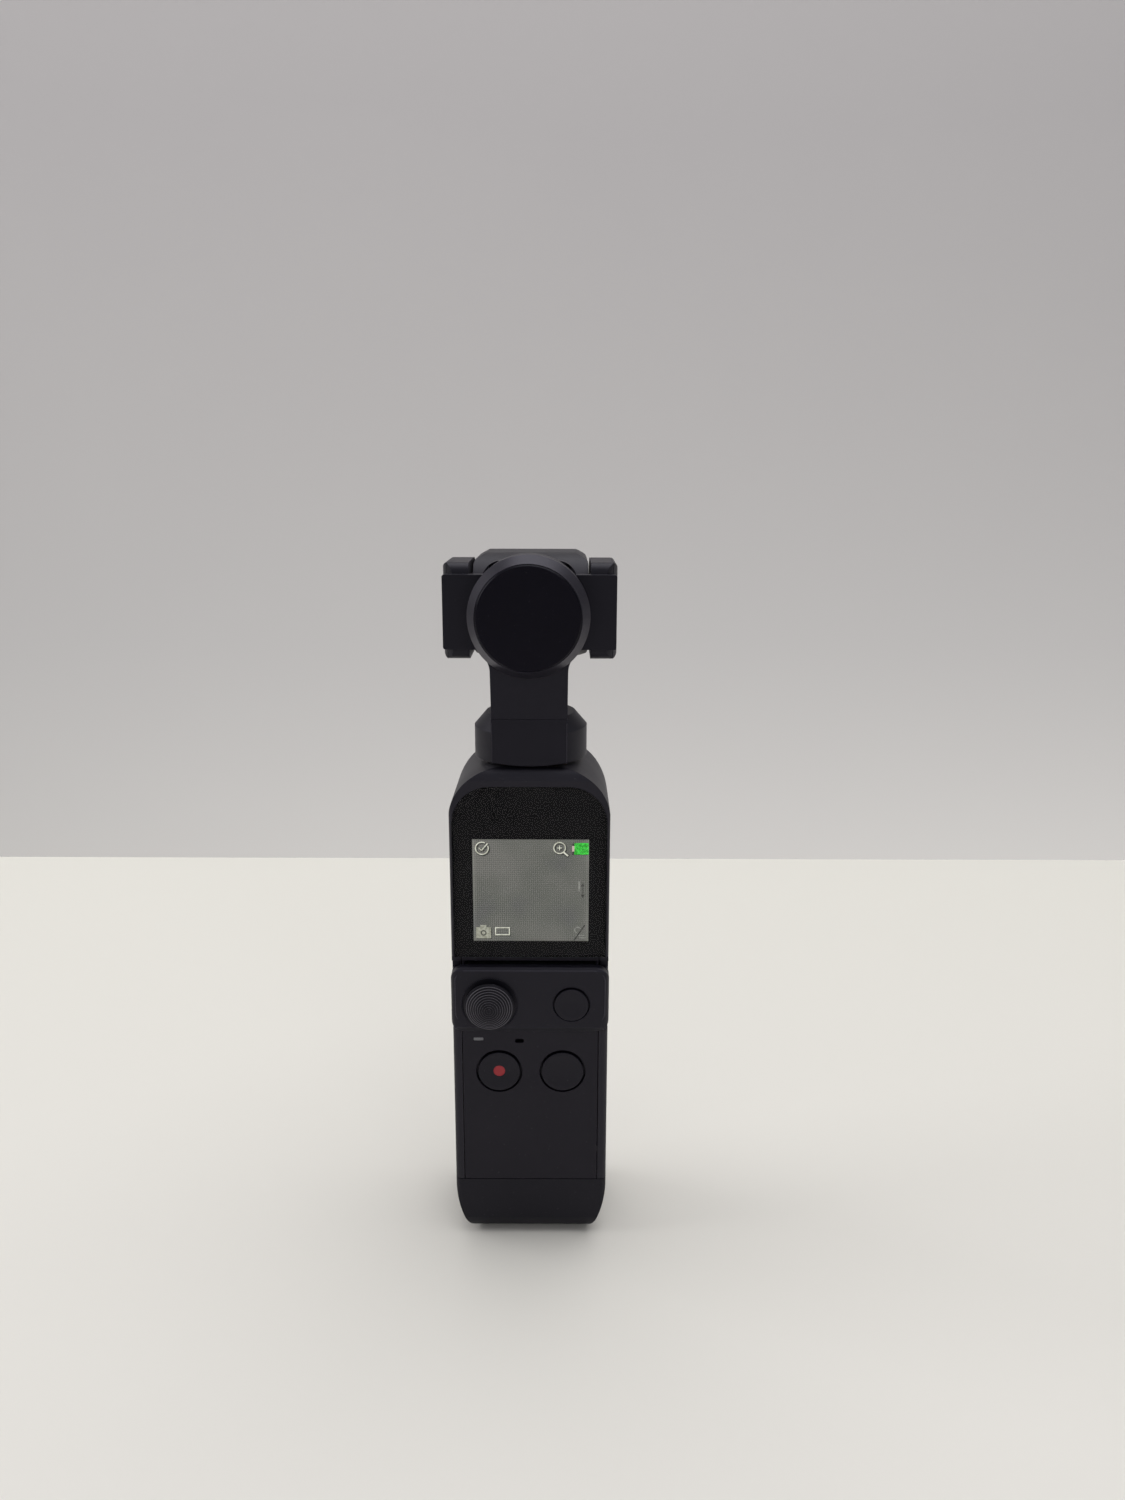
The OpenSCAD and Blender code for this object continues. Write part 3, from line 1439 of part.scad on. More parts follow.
module tilt_rotor() color(colour_steel) {
    difference() {
        union() {
            post_x(tilt_cup_r, tilt_cup_x0, cap_x - fit, tilt_y, head_z);
            post_x(tilt_hub_r, camera_half, tilt_cup_x0, tilt_y, head_z);
        }
        post_x(tilt_cup_r - cup_t, tilt_cup_x0 + tilt_cup_back, handle_w, tilt_y, head_z);
    }
    post_x(tilt_shaft_r, tilt_cup_x0 + tilt_cup_back, cap_x - fit, tilt_y, head_z);
    post_x(tilt_boss_r, camera_half - camera_wall, camera_half, tilt_y, head_z);
}

module tilt_magnets() color(colour_magnet) {
    r = tilt_cup_r - cup_t;
    on_tilt(tilt_core_x) magnet_set(r - magnet_t, r, tilt_core_h, pan_poles);
}

rear_shell();
neck_block();
front_frame();
button_plate();
screen_glass();
display_panel();
led_window();
port_rails();
port_contacts();
button_board();
main_board();
mid_frame();
battery();
card_socket();
usb_socket();
pan_motor_base();
pan_stator();
pan_coils();
pan_bearings();
handle_screws();
base_cover();
record_button();
record_dot();
power_button();
module_housing();
module_board();
module_contacts();
stick_cradle();
stick_stem();
stick_cap();
module_button();
arm_frame();
arm_cover();
pan_rotor();
pan_magnets();
roll_bezel();
roll_cover();
roll_motor_base();
roll_stator();
roll_coils();
roll_bearings();
yoke_frame();
roll_rotor();
roll_magnets();
motor_cap();
bearing_cap();
tilt_stator();
tilt_coils();
tilt_bearings();
camera_shell();
camera_front();
lens_ring();
lens_glass();
lens_barrel();
lens_elements();
image_sensor();
sensor_board();
tilt_rotor();
tilt_magnets();
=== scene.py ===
import bpy, bmesh, json, math
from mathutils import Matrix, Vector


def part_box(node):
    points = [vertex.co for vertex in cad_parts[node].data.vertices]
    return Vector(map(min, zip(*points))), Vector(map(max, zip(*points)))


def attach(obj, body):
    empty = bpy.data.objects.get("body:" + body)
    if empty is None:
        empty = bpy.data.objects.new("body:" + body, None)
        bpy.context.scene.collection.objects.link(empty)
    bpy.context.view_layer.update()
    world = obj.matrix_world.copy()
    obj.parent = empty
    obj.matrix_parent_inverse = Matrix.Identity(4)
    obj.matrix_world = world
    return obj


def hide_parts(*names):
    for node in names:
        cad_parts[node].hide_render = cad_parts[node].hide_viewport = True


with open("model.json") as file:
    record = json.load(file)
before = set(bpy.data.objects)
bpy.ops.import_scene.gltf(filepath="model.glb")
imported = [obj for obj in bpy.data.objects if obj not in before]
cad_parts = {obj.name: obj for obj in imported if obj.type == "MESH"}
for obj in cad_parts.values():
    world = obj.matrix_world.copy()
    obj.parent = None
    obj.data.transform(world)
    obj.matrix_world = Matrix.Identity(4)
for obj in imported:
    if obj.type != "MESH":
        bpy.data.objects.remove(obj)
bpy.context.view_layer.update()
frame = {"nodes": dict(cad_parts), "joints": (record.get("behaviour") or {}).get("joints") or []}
nodes = frame["nodes"]
mm = 0.001

# Table, wall and light
# The camera stands on a white table with a grey wall behind. The light is broad and soft and comes from
# above and behind, so the screen side is dim and only the edges catch it.

picture_place = (5.59 * mm, -194 * mm, 137.7 * mm)
picture_turn = (math.radians(76.23), -0.00291, 0.00071)

picture_lens = bpy.data.cameras.new("picture_camera")
picture_lens.sensor_width = 36
picture_lens.lens = 27.05
picture_lens.clip_start = 5 * mm
picture_camera = bpy.data.objects.new("picture_camera", picture_lens)
picture_camera.location = picture_place
picture_camera.rotation_euler = picture_turn
bpy.context.scene.collection.objects.link(picture_camera)
bpy.context.scene.camera = picture_camera
bpy.context.scene.view_settings.view_transform = "Standard"

table_half = 1.5
table_back = 0.2
table_face = -0.02 * mm
wall_half = 3.0
wall_back = 0.75
wall_foot = -0.7
wall_top = 1.1


class Tree:
    """A node tree in short lines: its nodes, what feeds them, and the sums and colours between them."""

    def __init__(self, tree):
        self.tree = tree

    def give(self, made, *given, **named):
        """Feeds a node's inputs by place or by name: a socket is linked, a value is set."""
        for label, value in [*enumerate(given), *named.items()]:
            socket = made.inputs[label if isinstance(label, int) else label.replace("_", " ")]
            if isinstance(value, bpy.types.NodeSocket):
                self.tree.links.new(value, socket)
            elif socket.type == "RGBA" and len(value) == 3:
                socket.default_value = (*value, 1)
            else:
                socket.default_value = value
        return made

    def node(self, kind, *given, **named):
        """Adds a node. Names in small letters are its settings, and the others are its inputs."""
        made = self.tree.nodes.new(kind)
        for label in [label for label in named if label.islower()]:
            setattr(made, label, named.pop(label))
        return self.give(made, *given, **named)

    def first(self, kind, *given, **named):
        """Adds a node and hands on what it puts out first."""
        return self.node(kind, *given, **named).outputs[0]

    def sum(self, way, *given):
        """Works out one value from others, in a way such as ADD or MULTIPLY."""
        return self.first("ShaderNodeMath", *given, operation=way)

    def span(self, value, low, high, to_low=0.0, to_high=1.0):
        """Carries a value from one range over to another, and stops at its ends."""
        return self.first("ShaderNodeMapRange", Value=value, From_Min=low, From_Max=high, To_Min=to_low,
                          To_Max=to_high)

    def cloud(self, place, scale, detail=2.0, **more):
        """Soft noise from 0 to 1."""
        noise = self.node("ShaderNodeTexNoise", Vector=place, Scale=scale, Detail=detail, **more)
        return noise.outputs["Fac"]

    def blend(self, share, near, far):
        """A colour between two."""
        return self.node("ShaderNodeMix", data_type="RGBA", Factor=share, A=near, B=far).outputs["Result"]

    def ramp(self, value, *stops):
        """Colours at their stops, by a value from 0 to 1."""
        made = self.node("ShaderNodeValToRGB", Fac=value)
        steps = made.color_ramp.elements
        for step, (at, colour) in ((steps[0], stops[0]), (steps[1], stops[-1])):
            step.position, step.color = at, (*colour, 1)
        for at, colour in stops[1:-1]:
            steps.new(at).color = (*colour, 1)
        return made.outputs["Color"]


class Finish(Tree):
    """A material: its Principled shader, the plain values given to it, and the place on the piece."""

    def __init__(self, name, **plain):
        self.material = bpy.data.materials.new(name)
        self.material.use_nodes = True
        super().__init__(self.material.node_tree)
        self.shader = self.give(self.tree.nodes["Principled BSDF"], **plain)
        self.place = self.node("ShaderNodeTexCoord").outputs["Object"]

    def end(self, **fed):
        """Feeds the shader and hands on the material."""
        self.give(self.shader, **fed)
        return self.material


def flat_sheet(name, corners, paint):
    """One flat sheet through four corners."""
    mesh = bpy.data.meshes.new(name)
    mesh.from_pydata(corners, [], [(0, 1, 2, 3)])
    mesh.materials.append(paint)
    sheet = bpy.data.objects.new(name, mesh)
    bpy.context.scene.collection.objects.link(sheet)


def paper(name, near, far, way, reach):
    """Matt paint or paper whose tone drifts from one colour to another along an axis, as painted shade, with
    a little random unevenness.
    """
    sheet = Finish(name, Roughness=0.9, Specular_IOR_Level=0.1)
    along = sheet.node("ShaderNodeSeparateXYZ", sheet.place).outputs[way]
    unevenness = 0.12
    drift = sheet.sum("MULTIPLY_ADD", sheet.cloud(sheet.place, scale=6.0), unevenness,
                      sheet.span(along, *reach))
    return sheet.end(Base_Color=sheet.blend(drift, near, far))


# Painted shade: the table darkens a little towards the back, and the wall darkens upwards.
table_white = paper("table white", near=(0.80, 0.775, 0.73), far=(0.765, 0.745, 0.685), way="Y",
                    reach=(-0.1, 0.22))
table_corners = [(-table_half, -table_half, table_face), (table_half, -table_half, table_face),
                 (table_half, table_back, table_face), (-table_half, table_back, table_face)]
flat_sheet("table", table_corners, table_white)
wall_grey = paper("wall grey", near=(0.60, 0.58, 0.555), far=(0.47, 0.45, 0.45), way="Z",
                  reach=(-0.18, 0.44))
wall_corners = [(-wall_half, wall_back, wall_foot), (wall_half, wall_back, wall_foot),
                (wall_half, wall_back, wall_top), (-wall_half, wall_back, wall_top)]
flat_sheet("wall", wall_corners, wall_grey)


def soft_light(name, place, aim, size, power):
    """A broad lamp that looks from its place at its aim."""
    lamp = bpy.data.lights.new(name, "AREA")
    lamp.shape = "RECTANGLE"
    lamp.size, lamp.size_y = size
    lamp.energy = power
    body = bpy.data.objects.new(name, lamp)
    body.location = place
    way = [b - a for a, b in zip(place, aim)]
    flat = math.hypot(way[0], way[1])
    body.rotation_euler = (math.atan2(flat, -way[2]), 0, math.atan2(way[1], way[0]) - math.pi / 2)
    bpy.context.scene.collection.objects.link(body)


soft_light("light_above", place=(0.15, 0.25, 1.2), aim=(0, 0.1, 0.0), size=(1.4, 1.2), power=12.3)
soft_light("light_left", place=(-1.1, 0.1, 0.7), aim=(0, 0, 0.07), size=(0.8, 0.8), power=5)
soft_light("light_wall", place=(0.5, 0.3, -0.5), aim=(0.45, 0.75, -0.05), size=(2.6, 0.4), power=7.6)
soft_light("light_front", place=(0.35, -1.3, 0.75), aim=(0, 0, 0.07), size=(0.9, 0.7), power=2.2)

room = bpy.data.worlds.new("room")
room.use_nodes = True
bpy.context.scene.world = room
Tree(room.node_tree).give(room.node_tree.nodes["Background"], Color=(0.93, 0.95, 1.0), Strength=0.25)

# Handle shell
# The handle's moulded shell: black soft-touch plastic with a fine spark-eroded grain, open at the front
# where the glass and the button plate lie in it, with the front frame screwed to its lugs.


class Effect(Tree):
    """A shader node group with named inputs and outputs, for an effect that many finishes share."""

    def __init__(self, name, **takes):
        super().__init__(bpy.data.node_groups.new(name, "ShaderNodeTree"))
        for label, value in takes.items():
            kind = "NodeSocketVector" if value is None else "NodeSocketFloat"
            socket = self.tree.interface.new_socket(name=label.replace("_", " "), in_out="INPUT",
                                                    socket_type=kind)
            if value is not None:
                socket.default_value = value
        self.given = self.node("NodeGroupInput").outputs

    def end(self, **gives):
        """Names what the group puts out, and hands on the group."""
        for label, socket in gives.items():
            kind = "NodeSocketVector" if socket.type == "VECTOR" else "NodeSocketFloat"
            self.tree.interface.new_socket(name=label, in_out="OUTPUT", socket_type=kind)
        self.node("NodeGroupOutput", **gives)
        return self.tree


def grain_effect():
    """Fine raised grain, slow patches and specks of dust, by the grain's fineness."""
    grain = Effect("Fine moulded grain", Place=None, Fineness=5200)
    place = grain.given["Place"]
    specks = grain.cloud(place, scale=2600, detail=1.0)
    return grain.end(Height=grain.cloud(place, grain.given["Fineness"]),
                     Patches=grain.cloud(place, scale=85, detail=4.0, Roughness=0.6),
                     Dust=grain.span(specks, low=0.73, high=0.80))


def rub_and_highlight_effect():
    """Where an edge is rubbed by hands and pockets and carries a painted highlight, and the softened normal
    of that edge.
    """
    rub_and_highlight = Effect("Rubbed edges", Place=None, Edge_Radius=0.15 * mm)
    softened = rub_and_highlight.node("ShaderNodeBevel", Radius=rub_and_highlight.given["Edge Radius"], samples=4).outputs["Normal"]
    flat = rub_and_highlight.node("ShaderNodeNewGeometry").outputs["Normal"]
    agree = rub_and_highlight.node("ShaderNodeVectorMath", softened, flat, operation="DOT_PRODUCT").outputs["Value"]
    uneven = rub_and_highlight.cloud(rub_and_highlight.given["Place"], scale=320, detail=3.0)
    turned_off = rub_and_highlight.span(agree, low=0.995, high=0.88)
    return rub_and_highlight.end(Rub=rub_and_highlight.sum("MULTIPLY", turned_off, uneven), Normal=softened)


moulded_grain = grain_effect()
rubbed_and_highlit_edges = rub_and_highlight_effect()


def cased(name, colour, rough, *, fineness=5200, depth=0.012, edge=0.15, rub_and_highlight=1.5, metal=0.0, dust=0.35,
          coat=0.0, level=0.3, tint=(0.9, 0.87, 1.0), sheen=0.0):
    """A case finish: grained plastic or blasted metal, darker in patches, paler on its edges from rubbing and
    from a painted highlight.

    The grain's depth and the edge's radius are in millimetres."""
    case = Finish(name, Metallic=metal, Specular_IOR_Level=level, Specular_Tint=tint, Coat_Weight=coat,
                  Coat_Roughness=0.12, Sheen_Weight=sheen, Sheen_Roughness=0.3)
    grain = case.node("ShaderNodeGroup", node_tree=moulded_grain, Place=case.place, Fineness=fineness).outputs
    worn_and_highlit = case.node("ShaderNodeGroup", node_tree=rubbed_and_highlit_edges, Place=case.place,
                     Edge_Radius=edge * mm).outputs
    dark_share, pale_share = 0.82, 1.2
    bare_and_highlight_tone, dust_tone = 0.002, 0.05
    gloss_swing = 0.07
    darker = [c * dark_share for c in colour]
    paler = [c * pale_share for c in colour]
    bared_and_highlit = [min(1, c * (1 + rub_and_highlight) + bare_and_highlight_tone * rub_and_highlight) for c in colour]
    dusty = [c + dust_tone for c in colour]
    # Painted highlight: the edges are made paler, partly as wear from rubbing and partly to stand for light
    # catching them.
    tone = case.blend(worn_and_highlit["Rub"], case.blend(grain["Patches"], darker, paler), bared_and_highlit)
    tone = case.blend(case.sum("MULTIPLY", grain["Dust"], dust), tone, dusty)
    gloss = case.span(grain["Patches"], 0.0, 1.0, rough + gloss_swing, rough - gloss_swing)
    relief = case.node("ShaderNodeBump", Strength=1.0, Distance=depth * mm, Height=grain["Height"],
                       Normal=worn_and_highlit["Normal"])
    return case.end(Base_Color=tone, Roughness=gloss, Normal=relief.outputs["Normal"])


def wear(finish, *names):
    """Gives CAD nodes their finish."""
    for name in names:
        mesh = nodes[name].data
        mesh.materials.clear()
        mesh.materials.append(finish)


soft_black = cased("soft black shell", (0.0045, 0.0040, 0.0078), 0.5, level=0.4, sheen=0.05)
wear(soft_black, "rear_shell")

# Neck block and front frame
# Plain black mouldings that stay inside: the block with the neck that carries the charging socket, and
# the frame that the glass and the button plate are glued to.

inner_black = cased("inner black", (0.016, 0.015, 0.020), 0.62, depth=0.008, dust=0.15, rub_and_highlight=0.8)
wear(inner_black, "neck_block", "front_frame")

# Base cover
# The cover that pulls off the neck: the same soft black moulding as the shell, a little smoother, with
# the mouth for the charging plug in its floor.

base_black = cased("base cover black", (0.0034, 0.0032, 0.006), 0.5, depth=0.009)
wear(base_black, "base_cover")

# Button plate
# A thin moulded plate, glued over the lower front, with the two button holes, the light window and the
# microphone hole. Its grain is finer than the shell's, and its crisp edges are paler from rubbing and from a
# painted highlight.

plate_black = cased("button plate black", (0.005, 0.0042, 0.0076), 0.47, fineness=7600, depth=0.006,
                    edge=0.14, rub_and_highlight=4.5)
wear(plate_black, "button_plate")

# Round buttons
# Round dished caps of satin black plastic, moulded and sprung: record, power and the module's own. The
# record button has a red insert pressed into its middle.

cap_black = cased("button cap black", (0.0039, 0.0035, 0.0066), 0.44, fineness=6800, depth=0.006,
                  edge=0.2, rub_and_highlight=4.5)
wear(cap_black, "record_button", "power_button", "module_button")

record_red = cased("record red", (0.36, 0.020, 0.026), 0.38, depth=0.004, dust=0.1, rub_and_highlight=0.15, coat=0.25)
wear(record_red, "record_dot")

# Status light
# A light pipe of frosted plastic, moulded and glued into its slot in the button plate. It is unlit here,
# so it looks grey.

pipe_grey = cased("frosted light pipe", (0.17, 0.17, 0.18), 0.35, fineness=4200, depth=0.004, dust=0.1,
                  rub_and_highlight=0.2)
wear(pipe_grey, "led_window")

# Control module
# The slide-on module: a moulded satin black block with bevelled edges, a wide bowl for the stick and a
# round button beside it. Its front edge carries a painted highlight, a pale bead that is left out where the
# bowl cuts it.

module_black = cased("control module black", (0.0045, 0.0042, 0.0077), 0.46, fineness=6400, depth=0.008,
                     edge=0.34, rub_and_highlight=5.5)
wear(module_black, "module_housing")


def add_piece(name, mesh, finish, body, slot, *standing_for):
    """Puts a finished piece on its body and hides the CAD nodes it stands for. Its slot is not used."""
    piece = bpy.data.objects.new(name, mesh)
    bpy.context.scene.collection.objects.link(piece)
    piece.data.materials.clear()
    piece.data.materials.append(finish)
    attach(piece, body)
    if standing_for:
        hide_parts(*standing_for)


class Rule(Tree):
    """A geometry tree with named sizes, and the plain mesh that grows from it."""

    def __init__(self, name, **sizes):
        super().__init__(bpy.data.node_groups.new(name, "GeometryNodeTree"))
        self.values = {}
        for label, value in sizes.items():
            kind = "NodeSocketInt" if isinstance(value, int) else "NodeSocketFloat"
            socket = self.tree.interface.new_socket(name=label.replace("_", " "), in_out="INPUT",
                                                    socket_type=kind)
            self.values[socket.identifier] = value
        self.tree.interface.new_socket(name="Mesh", in_out="OUTPUT", socket_type="NodeSocketGeometry")
        self.sizes = self.node("NodeGroupInput").outputs

    def point(self, x, y, z):
        return self.first("ShaderNodeCombineXYZ", x, y, z)

    def tube(self, path, radius, capped):
        """A slim round bead along a path."""
        around = self.first("GeometryNodeCurvePrimitiveCircle", Resolution=6, Radius=radius)
        return self.first("GeometryNodeCurveToMesh", path, around, Fill_Caps=capped)

    def grow(self, shape, finish):
        """Ends the tree and runs it on an empty object, whose result is kept as a plain mesh."""
        whole = self.first("GeometryNodeRealizeInstances", shape)
        self.node("NodeGroupOutput", self.first("GeometryNodeSetMaterial", whole, Material=finish))
        seed = bpy.data.objects.new(self.tree.name, bpy.data.meshes.new(self.tree.name))
        bpy.context.scene.collection.objects.link(seed)
        change = seed.modifiers.new(self.tree.name, "NODES")
        change.node_group = self.tree
        for identifier, value in self.values.items():
            change[identifier] = value
        mesh = bpy.data.meshes.new_from_object(seed.evaluated_get(bpy.context.evaluated_depsgraph_get()))
        seed.modifiers.remove(change)
        bpy.data.objects.remove(seed)
        for face in mesh.polygons:
            face.use_smooth = True
        return mesh


module_low, module_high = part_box("module_housing")
rim_left, rim_right = module_low[0] + 0.85 * mm, module_high[0] - 0.75 * mm
rim_foot, rim_top = module_low[2] + 1.9 * mm, module_high[2] - 0.45 * mm
rim_y = module_low[1] + 0.07 * mm
rim_corner_r = 1.9 * mm
rim_bead = 0.075 * mm
rim_corner_steps = 7
rim_steps = 240
stick_low, stick_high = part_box("stick_cap")
stick_x = (stick_low[0] + stick_high[0]) / 2
stick_z = (stick_low[2] + stick_high[2]) / 2
bowl_room = 5.2 * mm


def module_rim_mesh(finish):
    """A thin pale bead round the module's front, a painted highlight, left out where the stick's bowl is."""
    middle_x, middle_z = (rim_left + rim_right) / 2, (rim_foot + rim_top) / 2
    rim = Rule("module_rim", Width=rim_right - rim_left, Height=rim_top - rim_foot, Corner=rim_corner_r,
               Bead=rim_bead, Opening=bowl_room)
    outline = rim.first("GeometryNodeCurvePrimitiveQuadrilateral", Width=rim.sizes["Width"],
                        Height=rim.sizes["Height"])
    soft = rim.first("GeometryNodeFilletCurve", mode="POLY", Curve=outline, Radius=rim.sizes["Corner"],
                     Count=rim_corner_steps)
    parted = rim.first("GeometryNodeResampleCurve", Curve=soft, Count=rim_steps)
    away = rim.node("ShaderNodeVectorMath", rim.first("GeometryNodeInputPosition"),
                    (stick_x - middle_x, stick_z - middle_z, 0.0), operation="DISTANCE")
    in_bowl = rim.sum("LESS_THAN", away.outputs["Value"], rim.sizes["Opening"])
    kept = rim.first("GeometryNodeDeleteGeometry", rim.first("GeometryNodeCurveToMesh", parted), in_bowl)
    bead = rim.tube(rim.first("GeometryNodeMeshToCurve", kept), rim.sizes["Bead"], True)
    stood = rim.first("GeometryNodeTransform", bead, Rotation=(math.pi / 2, 0.0, 0.0),
                      Translation=(middle_x, rim_y, middle_z))
    return rim.grow(stood, finish)


# The rim bead is a painted highlight along the module's front edge.
rim_highlight = cased("rubbed module rim", (0.040, 0.038, 0.050), 0.34, depth=0.003, edge=0.03, rub_and_highlight=0.8)
add_piece("module_rim", module_rim_mesh(rim_highlight), rim_highlight, "control_module", "module_black")

# Stick
# The stick's rubber cap rises in fine ring-shaped terraces to a small flat crown, with crests that are
# pale, partly rubbed by the thumb and partly a painted highlight. It is moulded in one piece and pressed onto
# a turned metal stem.

stick_under = stick_high[1]
stick_radius = (stick_high[0] - stick_low[0]) / 2
stick_rim = 0.45 * mm
stick_dome = 1.55 * mm
stick_terraces = 10
stick_spans = 96
stick_foot_bevel = (0.12 * mm, 0.1 * mm)
stick_shoulder_bevel = (0.06 * mm, 0.08 * mm)
terrace_foot = (0.05 * mm, 0.012 * mm)
terrace_flank = 0.03 * mm
terrace_flank_share = 0.3
terrace_brow = (0.015 * mm, 0.02 * mm)
terrace_crest = 0.03 * mm
terrace_tread = (0.09 * mm, 0.008 * mm)
crown_dip = 0.01 * mm
crest_bead = 0.035 * mm


def stick_crown_mesh():
    """The cap's stepped dome as its half outline, with a low lip on each terrace, turned about its axis."""
    foot_in, foot_rise = stick_foot_bevel
    shoulder_in, shoulder_drop = stick_shoulder_bevel
    side = [(stick_radius - foot_in, 0.0), (stick_radius, foot_rise),
            (stick_radius, stick_rim - shoulder_drop), (stick_radius - shoulder_in, stick_rim)]
    for step in range(1, stick_terraces + 1):
        share = step / (stick_terraces + 1)
        edge = stick_radius * (1 - share)
        top = stick_rim + stick_dome * math.sin(math.pi / 2 * share)
        low = side[-1][1]
        side += [(edge + terrace_foot[0], low - terrace_foot[1]),
                 (edge + terrace_flank, low + terrace_flank_share * (top - low)),
                 (edge + terrace_brow[0], top - terrace_brow[1]),
                 (edge - terrace_crest, top),
                 (edge - terrace_tread[0], top - terrace_tread[1])]
    side.append((0.0, side[-1][1] - crown_dip))
    return turned_mesh("stick_crown", side, stick_spans)


def turned_mesh(name, side, spans):
    """A closed form turned about the stick's axis, from its half outline of radius and rise."""
    build = bmesh.new()
    rings = []
    for radius, rise in side:
        turns = [2 * math.pi * a / spans for a in range(spans if radius > 0 else 1)]
        rings.append([build.verts.new((stick_x + radius * math.cos(turn), stick_under - rise,
                                       stick_z + radius * math.sin(turn))) for turn in turns])
    for low, high in zip(rings, rings[1:]):
        for a in range(spans):
            b = (a + 1) % spans
            upper = [high[0]] if len(high) == 1 else [high[b], high[a]]
            build.faces.new([low[a], low[b], *upper])
    underside = build.faces.new(list(reversed(rings[0])))
    bmesh.ops.recalc_face_normals(build, faces=build.faces)
    for face in build.faces:
        face.smooth = face != underside
    mesh = bpy.data.meshes.new(name)
    build.to_mesh(mesh)
    build.free()
    return mesh


def stick_crests_mesh(finish):
    """A slim pale ring on the crest of each terrace, wear and a painted highlight, by the same rule as the
    terraces.
    """
    crests = Rule("Terrace crests", Cap_Radius=stick_radius, Rim=stick_rim, Dome=stick_dome,
                  Terraces=stick_terraces, Bead=crest_bead)
    points = crests.first("GeometryNodeMeshLine", Count=crests.sizes["Terraces"])
    nth = crests.sum("ADD", crests.first("GeometryNodeInputIndex"), 1.0)
    share = crests.sum("DIVIDE", nth, crests.sum("ADD", crests.sizes["Terraces"], 1.0))
    reach = crests.sum("MULTIPLY", crests.sizes["Cap Radius"], crests.sum("SUBTRACT", 1.0, share))
    quarter = crests.sum("SINE", crests.sum("MULTIPLY", share, math.pi / 2))
    rise = crests.sum("ADD", crests.sizes["Rim"], crests.sum("MULTIPLY", crests.sizes["Dome"], quarter))
    spot = crests.point(stick_x, crests.sum("SUBTRACT", stick_under, rise), stick_z)
    unit_bead = 0.02
    ring = crests.first("GeometryNodeCurvePrimitiveCircle", Resolution=stick_spans, Radius=1.0)
    thick = crests.sum("DIVIDE", crests.sizes["Bead"], unit_bead)
    beads = crests.first("GeometryNodeInstanceOnPoints",
                         crests.first("GeometryNodeSetPosition", points, Position=spot),
                         Instance=crests.tube(ring, unit_bead, False), Rotation=(math.pi / 2, 0.0, 0.0),
                         Scale=crests.point(reach, reach, thick))
    return crests.grow(beads, finish)


stick_rubber = cased("stick rubber", (0.0024, 0.0022, 0.0040), 0.5, fineness=7000, depth=0.004, edge=0.08)
add_piece("stick_crown", stick_crown_mesh(), stick_rubber, "stick", "stick_rubber", "stick_cap")
# The crest rings are pale partly as wear and partly as a painted highlight on each terrace lip.
crest_wear_and_highlight = cased("rubbed rubber crest", (0.105, 0.10, 0.115), 0.36, fineness=7000, depth=0.002, edge=0.02,
                     rub_and_highlight=0.6)
add_piece("stick_crests", stick_crests_mesh(crest_wear_and_highlight), crest_wear_and_highlight, "stick", "stick_rubber")

# Screen glass
# Hardened glass, cut to its outline and glued over the upper front. Black ink is printed on its back, all
# but the window over the lit display.

glass_low, glass_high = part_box("screen_glass")
glass_back = glass_high[1]
panel_low, panel_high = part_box("display_panel")
window_x = (panel_low[0] + 0.93 * mm, panel_high[0] - 1.2 * mm)
window_z = (panel_low[2] + 0.75 * mm, panel_high[2] - 1.58 * mm)
ink_margin = 0.05 * mm
ink_corner = 6.45 * mm
ink_corner_steps = 12
ink_gap = 0.004 * mm
ink_depth = 0.012 * mm


def printed_border_mesh():
    """A thin layer that follows the glass outline and leaves the display window free."""
    half, foot, top = glass_high[0] - ink_margin, glass_low[2] + ink_margin, glass_high[2] - ink_margin
    outer = [(-half, foot), (half, foot)]
    for centre, start in ((half - ink_corner, 0), (ink_corner - half, 90)):
        for step in range(ink_corner_steps + 1):
            turn = math.radians(start + 90 * step / ink_corner_steps)
            outer.append((centre + ink_corner * math.cos(turn),
                          top - ink_corner + ink_corner * math.sin(turn)))
    inner = [(window_x[0], window_z[0]), (window_x[1], window_z[0]), (window_x[1], window_z[1]),
             (window_x[0], window_z[1])]
    build = bmesh.new()
    for loop in (outer, inner):
        line = [build.verts.new((x, glass_back + ink_gap, z)) for x, z in loop]
        for a, b in zip(line, line[1:] + line[:1]):
            build.edges.new((a, b))
    bmesh.ops.triangle_fill(build, use_beauty=True, edges=build.edges[:])
    bmesh.ops.solidify(build, geom=build.faces[:], thickness=ink_depth)
    bmesh.ops.recalc_face_normals(build, faces=build.faces)
    mesh = bpy.data.meshes.new("glass_print")
    build.to_mesh(mesh)
    build.free()
    return mesh


def flat_ink(name, thin, thick, rough):
    """Printed ink: smooth, a little uneven in its cover."""
    ink = Finish(name, Specular_IOR_Level=0.2)
    cover = ink.cloud(ink.place, scale=190, detail=3.0)
    gloss_swing = 0.1
    return ink.end(Base_Color=ink.blend(cover, thin, thick),
                   Roughness=ink.span(cover, 0.0, 1.0, rough - gloss_swing, rough + gloss_swing))


ink_black = flat_ink("printed black", thin=(0.0048, 0.0042, 0.0058), thick=(0.0022, 0.0018, 0.0030),
                     rough=0.6)
add_piece("glass_print", printed_border_mesh(), ink_black, "handle", "display")


